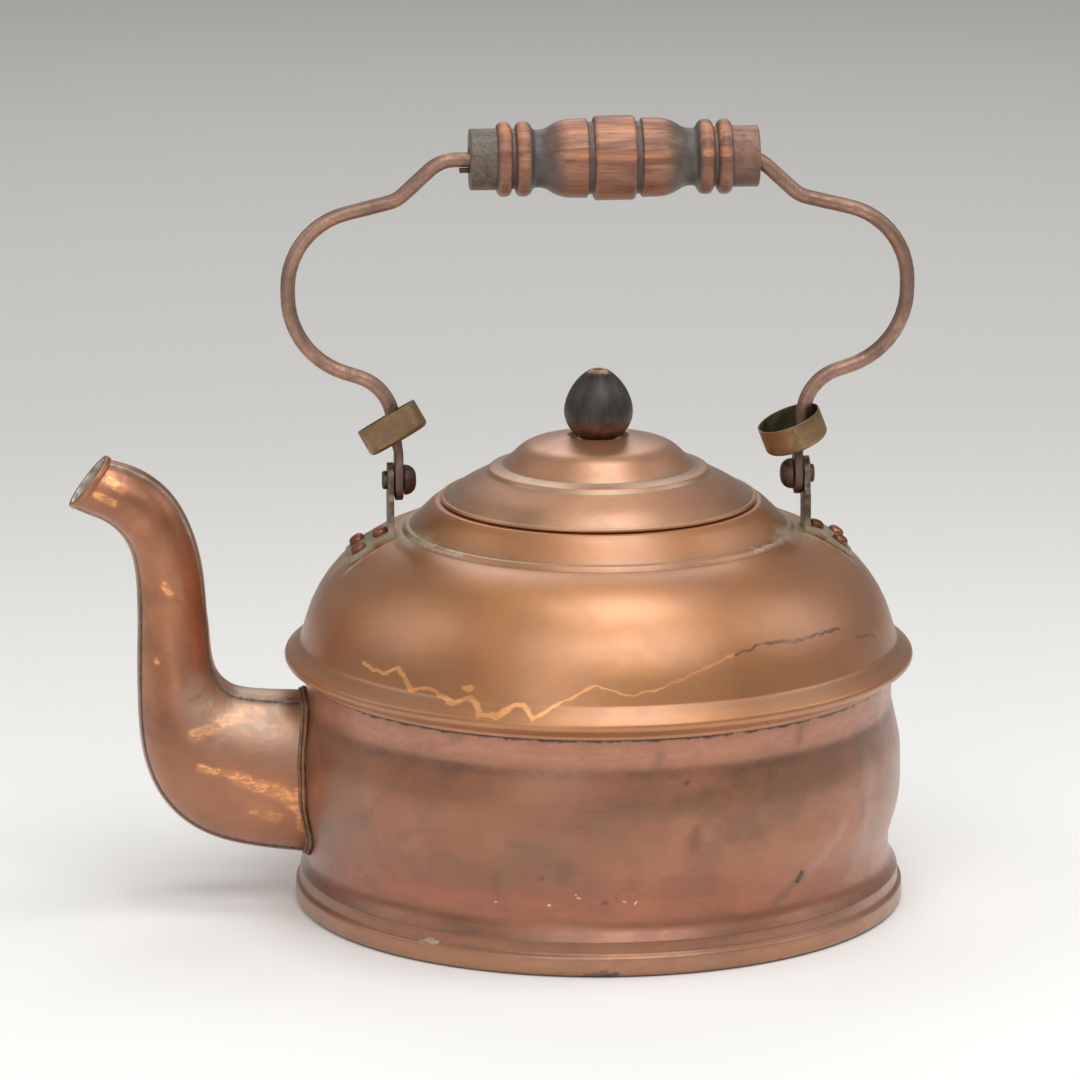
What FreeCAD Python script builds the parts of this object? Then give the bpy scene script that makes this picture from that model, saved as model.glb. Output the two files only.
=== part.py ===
import FreeCAD, Part
import math
import os
from types import SimpleNamespace

import Sketcher

# Copper tea kettle: spun wall and dome, two-piece spout, wire bail with a turned grip, lift-off lid.
# The origin is the middle of the flat bottom, +Z is up and the spout points to -X.

# Driving dimensions in millimetres; names that end in angle are degrees, in share are plain shares.
SIZES = {
    # sheet copper and soldered laps
    "sheet": 1.0,
    "solder_gap": 0.05,
    "cut_overrun": 3.0,
    # wall, from the rolled foot up; belly_top and wall_edge_bottom are measured down from the dome's seam,
    # wall_top up from it
    "foot_seat_radius": 109.4,
    "foot_radius": 112.6,
    "foot_roll": 2.6,
    "foot_bead_top": 7.2,
    "foot_bead_round": 1.2,
    "foot_step_radius": 110.9,
    "foot_step_bottom": 8.4,
    "foot_step_top": 12.6,
    "foot_crease": 0.9,
    "waist_radius": 107.6,
    "cove_top": 17.6,
    "cove_round": 9.0,
    "waist_top": 26.2,
    "waist_round": 12.0,
    "belly_radius": 111.85,
    "belly_bottom": 41.0,
    "belly_top": 26.9,
    "belly_round": 40.0,
    "wall_edge_radius": 108.3,
    "wall_edge_bottom": 11.4,
    "wall_edge_round": 10.0,
    "wall_top": 9.1,
    # bottom disc with a turned-up rim
    "base_rim_height": 11.5,
    "base_rim_round": 1.2,
    # shoulder dome: the seam over the wall, then skirt, overhanging bead and round shoulder, measured up
    # from the seam
    "seam_height": 86.9,
    "skirt_top": 1.1,
    "skirt_crease": 0.6,
    "bead_radius": 117.7,
    "bead_height": 5.5,
    "bead_round": 2.2,
    "bead_top": 11.9,
    "bead_crease": 3.0,
    "dome_radius": 110.0,
    "dome_round": 48.0,
    "dome_centre_height": 5.4,
    "dome_slope_angle": 13.25,
    # neck, measured up from the foot of its step; mouth_height is measured up from neck_height,
    # mouth_lip_bottom down from the mouth
    "step_radius": 72.2,
    "step_crease": 0.7,
    "step_bead_radius": 71.1,
    "step_bead_height": 1.69,
    "step_bead_round": 1.2,
    "neck_foot_radius": 69.6,
    "neck_foot_height": 2.09,
    "neck_radius": 62.6,
    "neck_height": 8.99,
    "neck_round": 12.0,
    "mouth_shoulder_radius": 60.0,
    "mouth_shoulder_round": 2.0,
    "mouth_height": 1.85,
    "mouth_radius": 54.0,
    "mouth_round": 1.6,
    "mouth_lip_bottom": 7.55,
    # spout: two halves lapped at the middle plane
    "spout_reach": 185.5,
    "spout_height": 158.85,
    "spout_root_depth": 29.9,
    "spout_lap_width": 2.0,
    "spout_lap_rise": 0.7,
    "spout_collar_width": 1.9,
    "spout_collar_thickness": 2.6,
    "spout_lip_length": 2.2,
    "spout_lip_rise": 0.35,
    "pour_hole_margin": 3.0,
    "spout_root_sink": 5.93,
    # bail brackets on the dome: reaches out from the ring that the round shoulder is turned on, and
    # ear_shoulder up from the shoulder's crown
    "bracket_plate": 1.8,
    "bracket_lobe_reach": 32.0,
    "bracket_notch_reach": 28.6,
    "bracket_lobe_half": 12.0,
    "bracket_lobe_taper": 1.8,
    "bracket_waist_reach": 18.5,
    "bracket_waist_half": 8.6,
    "bracket_round": 3.6,
    "ear_inner": 13.5,
    "ear_thickness": 2.2,
    "ear_foot_half": 8.0,
    "ear_half": 6.4,
    "ear_shoulder": 11.7,
    "ear_shoulder_rise": 2.2,
    "ear_shoulder_round": 1.6,
    "ear_top_flat": 0.3,
    # rivets through the bracket feet
    "rivet_head_radius": 2.6,
    "rivet_head_height": 1.8,
    "rivet_head_round": 1.5,
    "rivet_shank_radius": 1.6,
    "rivet_tail_radius": 2.4,
    "rivet_tail_height": 0.9,
    "rivet_tail_gap": 0.12,
    "rivet_outer_angle": 57.5,
    "rivet_inner_angle": 68.4,
    "rivet_spread_angle": 4.6,
    # bail hinge, hinge_height up from the shoulder's crown
    "hinge_height": 18.15,
    "hinge_shank_radius": 2.5,
    "hinge_head_radius": 5.6,
    "hinge_head_height": 4.4,
    "hinge_head_round": 4.1,
    "hinge_tail_radius": 3.4,
    "hinge_tail_height": 1.9,
    "hinge_tail_round": 0.3,
    "hinge_fit": 0.06,
    "hinge_side_gap": 0.3,
    # bail rod: heights up from the hinge, but bail_shoulder_height and bail_loop_top down from the straight
    # top; knee and leg out from the hinge head's face
    "rod_radius": 2.7,
    "bail_height": 118.55,
    "bail_top_half": 57.5,
    "bail_top_round": 14.0,
    "bail_shoulder_out": 73.5,
    "bail_shoulder_height": 14.7,
    "bail_shoulder_round": 12.0,
    "bail_loop_out": 113.4,
    "bail_loop_top": 24.5,
    "bail_loop_bottom": 47.05,
    "bail_loop_top_round": 28.0,
    "bail_loop_bottom_round": 30.0,
    "bail_knee_out": 5.1,
    "bail_knee_height": 35.05,
    "bail_knee_round": 18.0,
    "bail_leg_out": 3.5,
    "bail_leg_bottom": 18.05,
    "eye_thickness": 3.4,
    "eye_half": 6.6,
    "eye_drop": 7.6,
    "eye_top": 11.55,
    "eye_corner": 0.8,
    "eye_neck_bottom": 8.55,
    "eye_neck_half": 3.4,
    "eye_neck_thickness": 2.8,
    "eye_round": 6.4,
    # turned grip, its wedge, and its two brass cups, placed from the hinge and the hinge head's face
    "grip_offset": 5.6,
    "grip_length": 105.4,
    "grip_bore_radius": 5.0,
    "grip_tenon_radius": 11.2,
    "grip_tenon_length": 9.8,
    "grip_bead_radius": 13.7,
    "grip_bead_length": 5.7,
    "grip_bead_round": 2.4,
    "grip_groove_radius": 11.25,
    "grip_groove_length": 0.9,
    "grip_cove_radius": 10.5,
    "grip_cove_length": 5.0,
    "grip_cove_round": 2.2,
    "grip_swell_rise": 5.6,
    "grip_swell_radius": 14.4,
    "grip_swell_length": 10.6,
    "grip_swell_round": 7.0,
    "grip_ring_radius": 13.2,
    "grip_ring_length": 1.5,
    "grip_barrel_radius": 15.4,
    "grip_edge_round": 0.7,
    "wedge_reach": 3.6,
    "wedge_length": 14.0,
    "wedge_width": 3.6,
    "wedge_thickness": 1.4,
    "cup_radius": 11.95,
    "cup_wall": 0.6,
    "cup_height": 10.4,
    "cup_round": 1.8,
    "cup_hole_radius": 4.9,
    "cup_left_out": 1.4,
    "cup_left_height": 14.75,
    "cup_left_lean_angle": 30.0,
    "cup_left_nod_angle": 10.0,
    "cup_right_out": 2.0,
    "cup_right_height": 11.45,
    "cup_right_lean_angle": 21.0,
    "cup_right_nod_angle": 5.5,
    # lift-off lid, heights up from the mouth; flange_bottom is measured down from it
    "lid_sheet": 0.9,
    "lid_rim_radius": 57.4,
    "lid_rim_round": 0.8,
    "lid_seat_gap": 0.3,
    "lid_tier_share": 0.696,
    "lid_tier_radius": 50.5,
    "lid_tier_round": 40.0,
    "lid_ring_foot_radius": 41.2,
    "lid_ring_foot_height": 10.75,
    "lid_ring_radius": 40.1,
    "lid_ring_height": 12.25,
    "lid_ring_round": 1.15,
    "lid_crease": 0.7,
    "lid_crown_foot_radius": 37.6,
    "lid_crown_foot_height": 12.75,
    "lid_crown_cove_radius": 35.2,
    "lid_crown_cove_height": 13.45,
    "lid_crown_cove_round": 2.4,
    "lid_crown_radius": 27.4,
    "lid_crown_height": 20.95,
    "lid_crown_round": 14.0,
    "lid_dish_radius": 10.9,
    "lid_dish_height": 24.65,
    "lid_dish_round": 1.2,
    "lid_dish_floor_radius": 9.6,
    "lid_dish_floor": 21.85,
    "flange_fit": 0.4,
    "flange_seat_gap": 0.15,
    "flange_bottom": 6.05,
    "flange_sheet": 0.8,
    "flange_round": 1.1,
    "flange_turn_in": 3.2,
    # knob, heights up from the lid's dish, and its screw
    "knob_foot_radius": 8.0,
    "knob_foot_round": 0.8,
    "knob_radius": 12.65,
    "knob_low_corner": 9.7,
    "knob_low_round": 10.0,
    "knob_high_corner": 17.4,
    "knob_high_round": 12.0,
    "knob_tip_radius": 5.6,
    "knob_tip_round": 6.0,
    "knob_top": 26.8,
    "knob_bore_depth": 16.0,
    "screw_radius": 1.7,
    "screw_fit": 0.05,
    "screw_head_radius": 3.6,
    "screw_head_height": 2.2,
    "screw_head_round": 0.8,
    "screw_length": 15.0,
    "washer_radius": 7.4,
    "washer_thickness": 1.0,
}

# Spout sections from the mouth down to the wall: distance out as a share of the way from the root to
# spout_reach, height as a share of spout_height, half depth as a share of spout_root_depth, half width as a
# share of that half depth, and the angle by which the section leans from upright towards the kettle.
SPOUT_STATIONS = {
    "mouth": dict(out_share=1.000, up_share=1.000, depth_share=0.353, width_share=0.980, tilt_angle=38.0),
    "brink": dict(out_share=0.909, up_share=0.983, depth_share=0.395, width_share=0.950, tilt_angle=48.6),
    "throat": dict(out_share=0.800, up_share=0.948, depth_share=0.411, width_share=0.940, tilt_angle=64.7),
    "bow": dict(out_share=0.709, up_share=0.888, depth_share=0.388, width_share=0.985, tilt_angle=77.0),
    "neck": dict(out_share=0.662, up_share=0.816, depth_share=0.393, width_share=0.985, tilt_angle=90.0),
    "shaft": dict(out_share=0.643, up_share=0.678, depth_share=0.425, width_share=0.970, tilt_angle=72.9),
    "shin": dict(out_share=0.639, up_share=0.562, depth_share=0.579, width_share=0.850, tilt_angle=48.3),
    "ankle": dict(out_share=0.622, up_share=0.472, depth_share=0.729, width_share=0.780, tilt_angle=35.2),
    "bend": dict(out_share=0.573, up_share=0.406, depth_share=0.836, width_share=0.760, tilt_angle=25.1),
    "heel": dict(out_share=0.464, up_share=0.351, depth_share=0.913, width_share=0.750, tilt_angle=14.8),
    "sole": dict(out_share=0.259, up_share=0.320, depth_share=0.970, width_share=0.745, tilt_angle=2.9),
    "root": dict(out_share=0.000, up_share=0.309, depth_share=1.000, width_share=0.740, tilt_angle=0.0),
}
for station, shares in SPOUT_STATIONS.items():
    for key, amount in shares.items():
        SIZES[f"spout_{station}_{key}"] = amount


class Size:
    """A number with the sheet expression that gives it, so that sums stay bound to the sheet."""

    def __init__(self, value, text):
        self.value = value
        self.text = text

    @staticmethod
    def of(thing):
        return thing if isinstance(thing, Size) else Size(float(thing), repr(thing))

    def __add__(self, other):
        other = Size.of(other)
        return Size(self.value + other.value, f"({self.text} + {other.text})")

    def __sub__(self, other):
        other = Size.of(other)
        return Size(self.value - other.value, f"({self.text} - {other.text})")

    def __mul__(self, other):
        other = Size.of(other)
        return Size(self.value * other.value, f"({self.text} * {other.text})")

    def __truediv__(self, other):
        other = Size.of(other)
        return Size(self.value / other.value, f"({self.text} / {other.text})")

    def __neg__(self):
        return Size(-self.value, f"(-{self.text})")


def sine(angle):
    return Size(math.sin(math.radians(angle.value)), f"sin({angle.text})")


def cosine(angle):
    return Size(math.cos(math.radians(angle.value)), f"cos({angle.text})")


def tangent(angle):
    return Size(math.tan(math.radians(angle.value)), f"tan({angle.text})")


def root(amount):
    return Size(math.sqrt(amount.value), f"sqrt({amount.text})")


def heading(rise, run):
    return Size(math.degrees(math.atan2(rise.value, run.value)), f"atan2({rise.text}; {run.text})")


def plain_degrees(angle):
    return Size(angle.value, f"({angle.text} / 1 deg)")


doc = FreeCAD.newDocument("TeaKettle")
sheet_of_sizes = doc.addObject("Spreadsheet::Sheet", "Sizes")
for row, (alias, amount) in enumerate(SIZES.items(), start=1):
    sheet_of_sizes.set(f"A{row}", alias)
    sheet_of_sizes.set(f"B{row}", str(amount))
    sheet_of_sizes.setAlias(f"B{row}", alias)
doc.recompute()
n = SimpleNamespace(**{alias: Size(amount, f"Sizes.{alias}") for alias, amount in SIZES.items()})


def derived(alias, size):
    """Keep a value that follows from others in a cell of its own."""
    cell = f"B{len(SIZES) + 1}"
    SIZES[alias] = size.value
    sheet_of_sizes.set(cell, "=" + size.text.replace("Sizes.", ""))
    sheet_of_sizes.setAlias(cell, alias)
    return Size(size.value, f"Sizes.{alias}")


ZERO = Size.of(0)
ONE = Size.of(1)
HALF_SHARE = 0.5
FILLET_ROOM_SHARE = 0.995
RIGHT_ANGLE = Size.of(90)
FULL_TURN = 360
UPRIGHT = FreeCAD.Rotation(FreeCAD.Vector(1, 0, 0), 90)


def bind(thing, **properties):
    """Bind properties of a document object to expressions."""
    for name, size in properties.items():
        thing.setExpression(name, Size.of(size).text)


def bind_place(thing, x, y, z, yaw=ZERO, pitch=ZERO, roll=ZERO):
    """Bind a whole placement: a point, then turns about Z, Y and X."""
    x, y, z, yaw, pitch, roll = (Size.of(amount).text for amount in (x, y, z, yaw, pitch, roll))
    point = f"create(<<vector>>; {x}; {y}; {z})"
    turn = f"create(<<rotation>>; {yaw}; {pitch}; {roll})"
    thing.setExpression("Placement", f"create(<<placement>>; {point}; {turn})")


def fix_point(sketch, geometry, end, x, y):
    """Tie one point of a sketch to the sketch's origin by bound distances."""
    for axis, size in (("X", Size.of(x)), ("Y", Size.of(y))):
        if abs(size.value) < 1e-9:
            middle_line = -2 if axis == "X" else -1
            sketch.addConstraint(Sketcher.Constraint("PointOnObject", geometry, end, middle_line))
            continue
        ends = (-1, 1, geometry, end) if size.value > 0 else (geometry, end, -1, 1)
        distance = size if size.value > 0 else -size
        index = sketch.addConstraint(Sketcher.Constraint(f"Distance{axis}", *ends, distance.value))
        sketch.setExpression(f"Constraints[{index}]", distance.text)


def limited(corners, closed):
    """Corners whose roundings are cut down where the two on one run together need more than its length."""
    count = len(corners)
    places = [FreeCAD.Vector(x.value, y.value, 0) for x, y, _ in corners]
    trims = []
    for index, (_, _, radius) in enumerate(corners):
        if radius.value == 0:
            trims.append(0.0)
            continue
        before = places[index - 1] - places[index]
        after = places[(index + 1) % count] - places[index]
        trims.append(radius.value / math.tan(before.getAngle(after) / 2))
    shares = [1.0] * count
    for index in range(count if closed else count - 1):
        following = (index + 1) % count
        room = (places[following] - places[index]).Length * FILLET_ROOM_SHARE
        need = trims[index] + trims[following]
        if need > room:
            shares[index] = min(shares[index], room / need)
            shares[following] = min(shares[following], room / need)
    return [(x, y, radius if share == 1 else radius * share)
            for (x, y, radius), share in zip(corners, shares)]


def draw_rounded(sketch, corners, closed):
    """Draw straight runs through (x, y, radius) corners, each rounded by a tangent arc of its radius."""
    corners = [tuple(Size.of(amount) for amount in corner) for corner in corners]
    corners = limited(corners, closed)
    points = [FreeCAD.Vector(x.value, y.value, 0) for x, y, _ in corners]
    count = len(corners)
    trims = []
    for index, (_, _, radius) in enumerate(corners):
        if radius.value == 0:
            trims.append(0.0)
            continue
        before = (points[index - 1] - points[index]).normalize()
        after = (points[(index + 1) % count] - points[index]).normalize()
        trims.append(radius.value / math.tan(before.getAngle(after) / 2))
    lines = []
    for index in range(count if closed else count - 1):
        start, end = points[index], points[(index + 1) % count]
        way = (end - start).normalize()
        line = Part.LineSegment(start + way * trims[index], end - way * trims[(index + 1) % count])
        lines.append(sketch.addGeometry(line))
    for index, (x, y, radius) in enumerate(corners):
        if not closed and index == 0:
            fix_point(sketch, lines[0], 1, x, y)
            continue
        if not closed and index == count - 1:
            fix_point(sketch, lines[-1], 2, x, y)
            continue
        line_in, line_out = lines[index - 1], lines[index]
        if radius.value == 0:
            sketch.addConstraint(Sketcher.Constraint("Coincident", line_in, 2, line_out, 1))
            fix_point(sketch, line_out, 1, x, y)
            continue
        before = (points[index - 1] - points[index]).normalize()
        after = (points[(index + 1) % count] - points[index]).normalize()
        half = before.getAngle(after) / 2
        centre = points[index] + (before + after).normalize() * (radius.value / math.sin(half))
        touch_in = points[index] + before * trims[index]
        touch_out = points[index] + after * trims[index]
        turns_left = before.cross(after).z < 0
        first, last = (touch_in, touch_out) if turns_left else (touch_out, touch_in)
        angles = [math.atan2(touch.y - centre.y, touch.x - centre.x) for touch in (first, last)]
        circle = Part.Circle(centre, FreeCAD.Vector(0, 0, 1), radius.value)
        arc = sketch.addGeometry(Part.ArcOfCircle(circle, *angles))
        end_in, end_out = (1, 2) if turns_left else (2, 1)
        corner = sketch.addGeometry(Part.Point(points[index]), True)
        fix_point(sketch, corner, 1, x, y)
        sketch.addConstraint(Sketcher.Constraint("PointOnObject", corner, 1, line_in))
        sketch.addConstraint(Sketcher.Constraint("PointOnObject", corner, 1, line_out))
        sketch.addConstraint(Sketcher.Constraint("Tangent", line_in, 2, arc, end_in))
        sketch.addConstraint(Sketcher.Constraint("Tangent", line_out, 1, arc, end_out))
        rounding = sketch.addConstraint(Sketcher.Constraint("Radius", arc, radius.value))
        sketch.setExpression(f"Constraints[{rounding}]", radius.text)


def body_sketch(body, name, plane, offset=None):
    """A sketch on one of its body's own origin planes, moved along the plane's normal if asked."""
    sketch = body.newObject("Sketcher::SketchObject", name)
    sketch.AttachmentSupport = [(next(f for f in body.Origin.OriginFeatures if f.Role == plane), "")]
    sketch.MapMode = "FlatFace"
    if offset is not None:
        bind(sketch, **{"AttachmentOffset.Base.z": offset})
    return sketch


def turned(name, corners, axis="V_Axis"):
    """A solid of revolution: a closed outline in the XZ plane turned about one of its own axes."""
    body = doc.addObject("PartDesign::Body", name)
    sketch = body_sketch(body, f"{name}_outline", "XZ_Plane")
    draw_rounded(sketch, corners, closed=True)
    turn = body.newObject("PartDesign::Revolution", f"{name}_turn")
    turn.Profile = sketch
    turn.ReferenceAxis = (sketch, [axis])
    turn.Angle = FULL_TURN
    return body


def standing_sketch(name, corners, closed):
    """A sketch in the XZ plane: x is the radius, y the height."""
    sketch = doc.addObject("Sketcher::SketchObject", name)
    sketch.Placement = FreeCAD.Placement(FreeCAD.Vector(0, 0, 0), UPRIGHT)
    draw_rounded(sketch, corners, closed)
    return sketch


def revolved(name, source):
    """Turn a flat shape about Z into a solid."""
    solid = doc.addObject("Part::Revolution", name)
    solid.Source = source
    solid.Axis = (0, 0, 1)
    solid.Angle = FULL_TURN
    solid.Solid = True
    return solid


def spun_shell(name, corners, thickness):
    """Sheet metal spun about Z: its outside line, thickened inwards and turned."""
    line = standing_sketch(f"{name}_line", corners, closed=False)
    skin = doc.addObject("Part::Offset2D", f"{name}_skin")
    skin.Source = line
    skin.Mode = "Skin"
    skin.Fill = True
    bind(skin, Value=thickness)
    return revolved(name, skin)


def joined(kind, name, base, tool):
    """A Part boolean of two objects: Cut, Common or Fuse."""
    result = doc.addObject(f"Part::{kind}", name)
    result.Base = base
    result.Tool = tool
    return result


def grouped(name, pieces):
    """Separate solids kept together as one node."""
    group = doc.addObject("Part::Compound", name)
    group.Links = pieces
    return group


def mirrored(name, source):
    """The same piece on the other side of the kettle."""
    copy = doc.addObject("Part::Mirroring", name)
    copy.Source = source
    copy.Normal = (1, 0, 0)
    return copy


def block(name, x, y, z, length, width, height):
    """A box from one corner."""
    box = doc.addObject("Part::Box", name)
    bind(box, Length=length, Width=width, Height=height)
    bind_place(box, x, y, z)
    return box


NODES = []


def node(thing, label):
    """Give a finished piece the name of its file."""
    thing.Label = label
    NODES.append(thing)
    return thing


# Levels that the pieces are stacked on
wall_top = derived("wall_top_level", n.seam_height + n.wall_top)
bead_top = derived("bead_top_level", n.seam_height + n.bead_top)
dome_centre = derived("dome_centre_level", n.seam_height + n.dome_centre_height)
dome_crown = derived("dome_crown_level", dome_centre + n.dome_round)
dome_ring_radius = derived("dome_ring_radius", n.dome_radius - n.dome_round)
bead_angle = plain_degrees(heading(n.bead_top - n.dome_centre_height, n.dome_round))
dome_start_angle = derived("dome_start_angle", bead_angle + bead_angle)
dome_end_angle = RIGHT_ANGLE - n.dome_slope_angle
dome_bearing_angle = (dome_start_angle + dome_end_angle) * HALF_SHARE
dome_reach = n.dome_round / cosine((dome_end_angle - dome_start_angle) * HALF_SHARE)
dome_corner_radius = derived("dome_corner_radius", dome_ring_radius + dome_reach * cosine(dome_bearing_angle))
dome_corner = derived("dome_corner_level", dome_centre + dome_reach * sine(dome_bearing_angle))
step_rise = (dome_corner_radius - n.step_radius) * tangent(n.dome_slope_angle)
step_foot = derived("step_foot_level", dome_corner + step_rise)
neck_level = derived("neck_level", step_foot + n.neck_height)
mouth_level = derived("mouth_level", neck_level + n.mouth_height)
dish_floor = derived("dish_floor_level", mouth_level + n.lid_dish_floor)
hinge_level = derived("hinge_level", dome_crown + n.hinge_height)
grip_level = derived("grip_level", hinge_level + n.bail_height)
ear_face = derived("ear_face", dome_ring_radius + n.ear_inner)
eye_inner = derived("eye_inner", ear_face - n.hinge_side_gap - n.eye_thickness)
head_face = derived("hinge_head_face", eye_inner - n.hinge_side_gap)

# Wall and bottom
WALL_FOOT = [
    (n.foot_seat_radius, 0, 0),
    (n.foot_radius, 0, n.foot_roll),
    (n.foot_radius, n.foot_bead_top, n.foot_bead_round),
    (n.foot_step_radius, n.foot_step_bottom, n.foot_crease),
    (n.foot_step_radius, n.foot_step_top, n.foot_bead_round),
    (n.waist_radius, n.cove_top, n.cove_round),
]
WALL_SIDE = [
    (n.waist_radius, n.waist_top, n.waist_round),
    (n.belly_radius, n.belly_bottom, n.belly_round),
    (n.belly_radius, n.seam_height - n.belly_top, n.belly_round),
    (n.wall_edge_radius, n.seam_height - n.wall_edge_bottom, n.wall_edge_round),
    (n.wall_edge_radius, wall_top, 0),
]
wall_shell = spun_shell("WallShell", WALL_FOOT + WALL_SIDE, n.sheet)
wall_core = revolved("WallCore", standing_sketch("WallCoreLine", WALL_FOOT + WALL_SIDE + [
    (ZERO, wall_top, 0),
    (ZERO, ZERO, 0),
], closed=True))

base_radius = n.foot_seat_radius - n.solder_gap
node(spun_shell("BasePlate", [
    (ZERO, ZERO, 0),
    (base_radius, ZERO, n.base_rim_round),
    (base_radius, n.base_rim_height, 0),
], n.sheet), "base_plate")

# Shoulder dome; its round shoulder is part of a torus, which the brackets and rivets also follow
skirt_radius = n.wall_edge_radius + n.solder_gap + n.sheet
dome_shell = spun_shell("DomeShell", [
    (skirt_radius, n.seam_height, 0),
    (skirt_radius, n.seam_height + n.skirt_top, n.skirt_crease),
    (n.bead_radius, n.seam_height + n.bead_height, n.bead_round),
    (n.dome_radius, bead_top, n.bead_crease),
    (dome_corner_radius, dome_corner, n.dome_round),
    (n.step_radius, step_foot, n.step_crease),
    (n.step_bead_radius, step_foot + n.step_bead_height, n.step_bead_round),
    (n.neck_foot_radius, step_foot + n.neck_foot_height, n.step_crease),
    (n.neck_radius, neck_level, n.neck_round),
    (n.mouth_shoulder_radius, mouth_level, n.mouth_shoulder_round),
    (n.mouth_radius, mouth_level, n.mouth_round),
    (n.mouth_radius, mouth_level - n.mouth_lip_bottom, 0),
], n.sheet)


def dome_torus(name, rise):
    """The round shoulder as a torus, raised from the dome's outside by some height."""
    torus = doc.addObject("Part::Torus", name)
    bind(torus, Radius1=dome_ring_radius, Radius2=n.dome_round + rise)
    bind_place(torus, ZERO, ZERO, dome_centre)
    return torus


# Spout
spout_root_out = derived("spout_root_out", n.belly_radius - n.spout_root_sink)


def spout_sizes(station):
    """Where one spout section stands, its half depth, its half width and its lean."""
    get = {key: getattr(n, f"spout_{station}_{key}") for key in SPOUT_STATIONS[station]}
    depth = n.spout_root_depth * get["depth_share"]
    return SimpleNamespace(
        out=spout_root_out + (n.spout_reach - spout_root_out) * get["out_share"],
        up=n.spout_height * get["up_share"],
        depth=depth,
        width=depth * get["width_share"],
        tilt=get["tilt_angle"],
    )


def spout_loft(name, rise):
    """A smooth solid through elliptical sections that are larger than the spout by some rise."""
    sections = []
    for station in SPOUT_STATIONS:
        place = spout_sizes(station)
        section = doc.addObject("Part::Ellipse", f"{name}_{station}")
        bind(section, MajorRadius=place.depth + rise, MinorRadius=place.width + rise)
        bind_place(section, -place.out, ZERO, place.up, pitch=place.tilt - RIGHT_ANGLE)
        sections.append(section)
    loft = doc.addObject("Part::Loft", name)
    loft.Sections = sections
    loft.Solid = True
    return loft


spout_outside = spout_loft("SpoutOutside", ZERO)
spout_inside = spout_loft("SpoutInside", -n.sheet)
spout_lapped = spout_loft("SpoutLapped", n.spout_lap_rise)
spout_hollow = joined("Cut", "SpoutHollow", spout_outside, spout_inside)
spout_tube = joined("Cut", "SpoutTube", spout_hollow, wall_core)
spout_skin_blank = joined("Cut", "SpoutSkinBlank", spout_lapped, spout_outside)
spout_skin = joined("Cut", "SpoutSkin", spout_skin_blank, wall_core)

spout_span = n.spout_reach + n.spout_root_depth
spout_side = n.spout_root_depth + n.spout_root_depth
front_space = block("FrontSpace", -spout_span, -spout_side, ZERO, spout_span, spout_side, spout_span)
rear_space = block("RearSpace", -spout_span, ZERO, ZERO, spout_span, spout_side, spout_span)
lap_both = n.spout_lap_width + n.spout_lap_width
lap_space = block("LapSpace", -spout_span, -n.spout_lap_width, ZERO, spout_span, lap_both, spout_span)
node(joined("Common", "SpoutFront", spout_tube, front_space), "spout_front_half")
spout_rear = joined("Common", "SpoutRear", spout_tube, rear_space)
spout_strip = joined("Common", "SpoutStrip", spout_skin, lap_space)
node(joined("Fuse", "SpoutRearLapped", spout_rear, spout_strip), "spout_rear_half")

collar_outside = spout_loft("CollarOutside", n.spout_lap_rise + n.spout_collar_width)
collar_blank = joined("Cut", "CollarBlank", collar_outside, spout_lapped)
collar_band = spun_shell("CollarBand", [(n.waist_radius, ZERO, 0)] + WALL_SIDE, -n.spout_collar_thickness)
collar_ring = joined("Common", "CollarRing", collar_blank, collar_band)
node(joined("Cut", "SpoutCollar", collar_ring, wall_core), "spout_collar")

mouth = spout_sizes("mouth")
lip_body = doc.addObject("PartDesign::Body", "SpoutLip")
lip_sketch = body_sketch(lip_body, "SpoutLipOutline", "XY_Plane")
for rise in (n.spout_lap_rise + n.spout_lip_rise, -n.sheet):
    oval = Part.Ellipse(FreeCAD.Vector(0, 0, 0), (mouth.depth + rise).value, (mouth.width + rise).value)
    index = lip_sketch.addGeometry(oval)
    lip_sketch.exposeInternalGeometry(index)
    lip_sketch.addConstraint(Sketcher.Constraint("Coincident", index, 3, -1, 1))
    lip_sketch.addConstraint(Sketcher.Constraint("Horizontal", index + 1))
    for offset, half in ((1, mouth.depth + rise), (2, mouth.width + rise)):
        length = lip_sketch.addConstraint(Sketcher.Constraint("Distance", index + offset, (half * 2).value))
        lip_sketch.setExpression(f"Constraints[{length}]", (half * 2).text)
lip_pad = lip_body.newObject("PartDesign::Pad", "SpoutLipPad")
lip_pad.Profile = lip_sketch
bind(lip_pad, Length=n.spout_lip_length)
bind_place(lip_body, -mouth.out, ZERO, mouth.up, pitch=mouth.tilt - RIGHT_ANGLE)
node(lip_body, "spout_lip")

# Opening in the wall behind the spout's root
root_section = spout_sizes("root")
hole_oval = doc.addObject("Part::Ellipse", "PourHoleOval")
hole_shrink = n.sheet + n.pour_hole_margin
bind(hole_oval, MajorRadius=root_section.depth - hole_shrink, MinorRadius=root_section.width - hole_shrink)
bind_place(hole_oval, -spout_root_out * HALF_SHARE, ZERO, root_section.up, pitch=-RIGHT_ANGLE)
hole_plug = doc.addObject("Part::Extrusion", "PourHolePlug")
hole_plug.Base = hole_oval
hole_plug.DirMode = "Custom"
hole_plug.Dir = (-1, 0, 0)
hole_plug.Solid = True
bind(hole_plug, LengthFwd=spout_root_out)
node(joined("Cut", "BodyWall", wall_shell, hole_plug), "body_wall")

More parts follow.
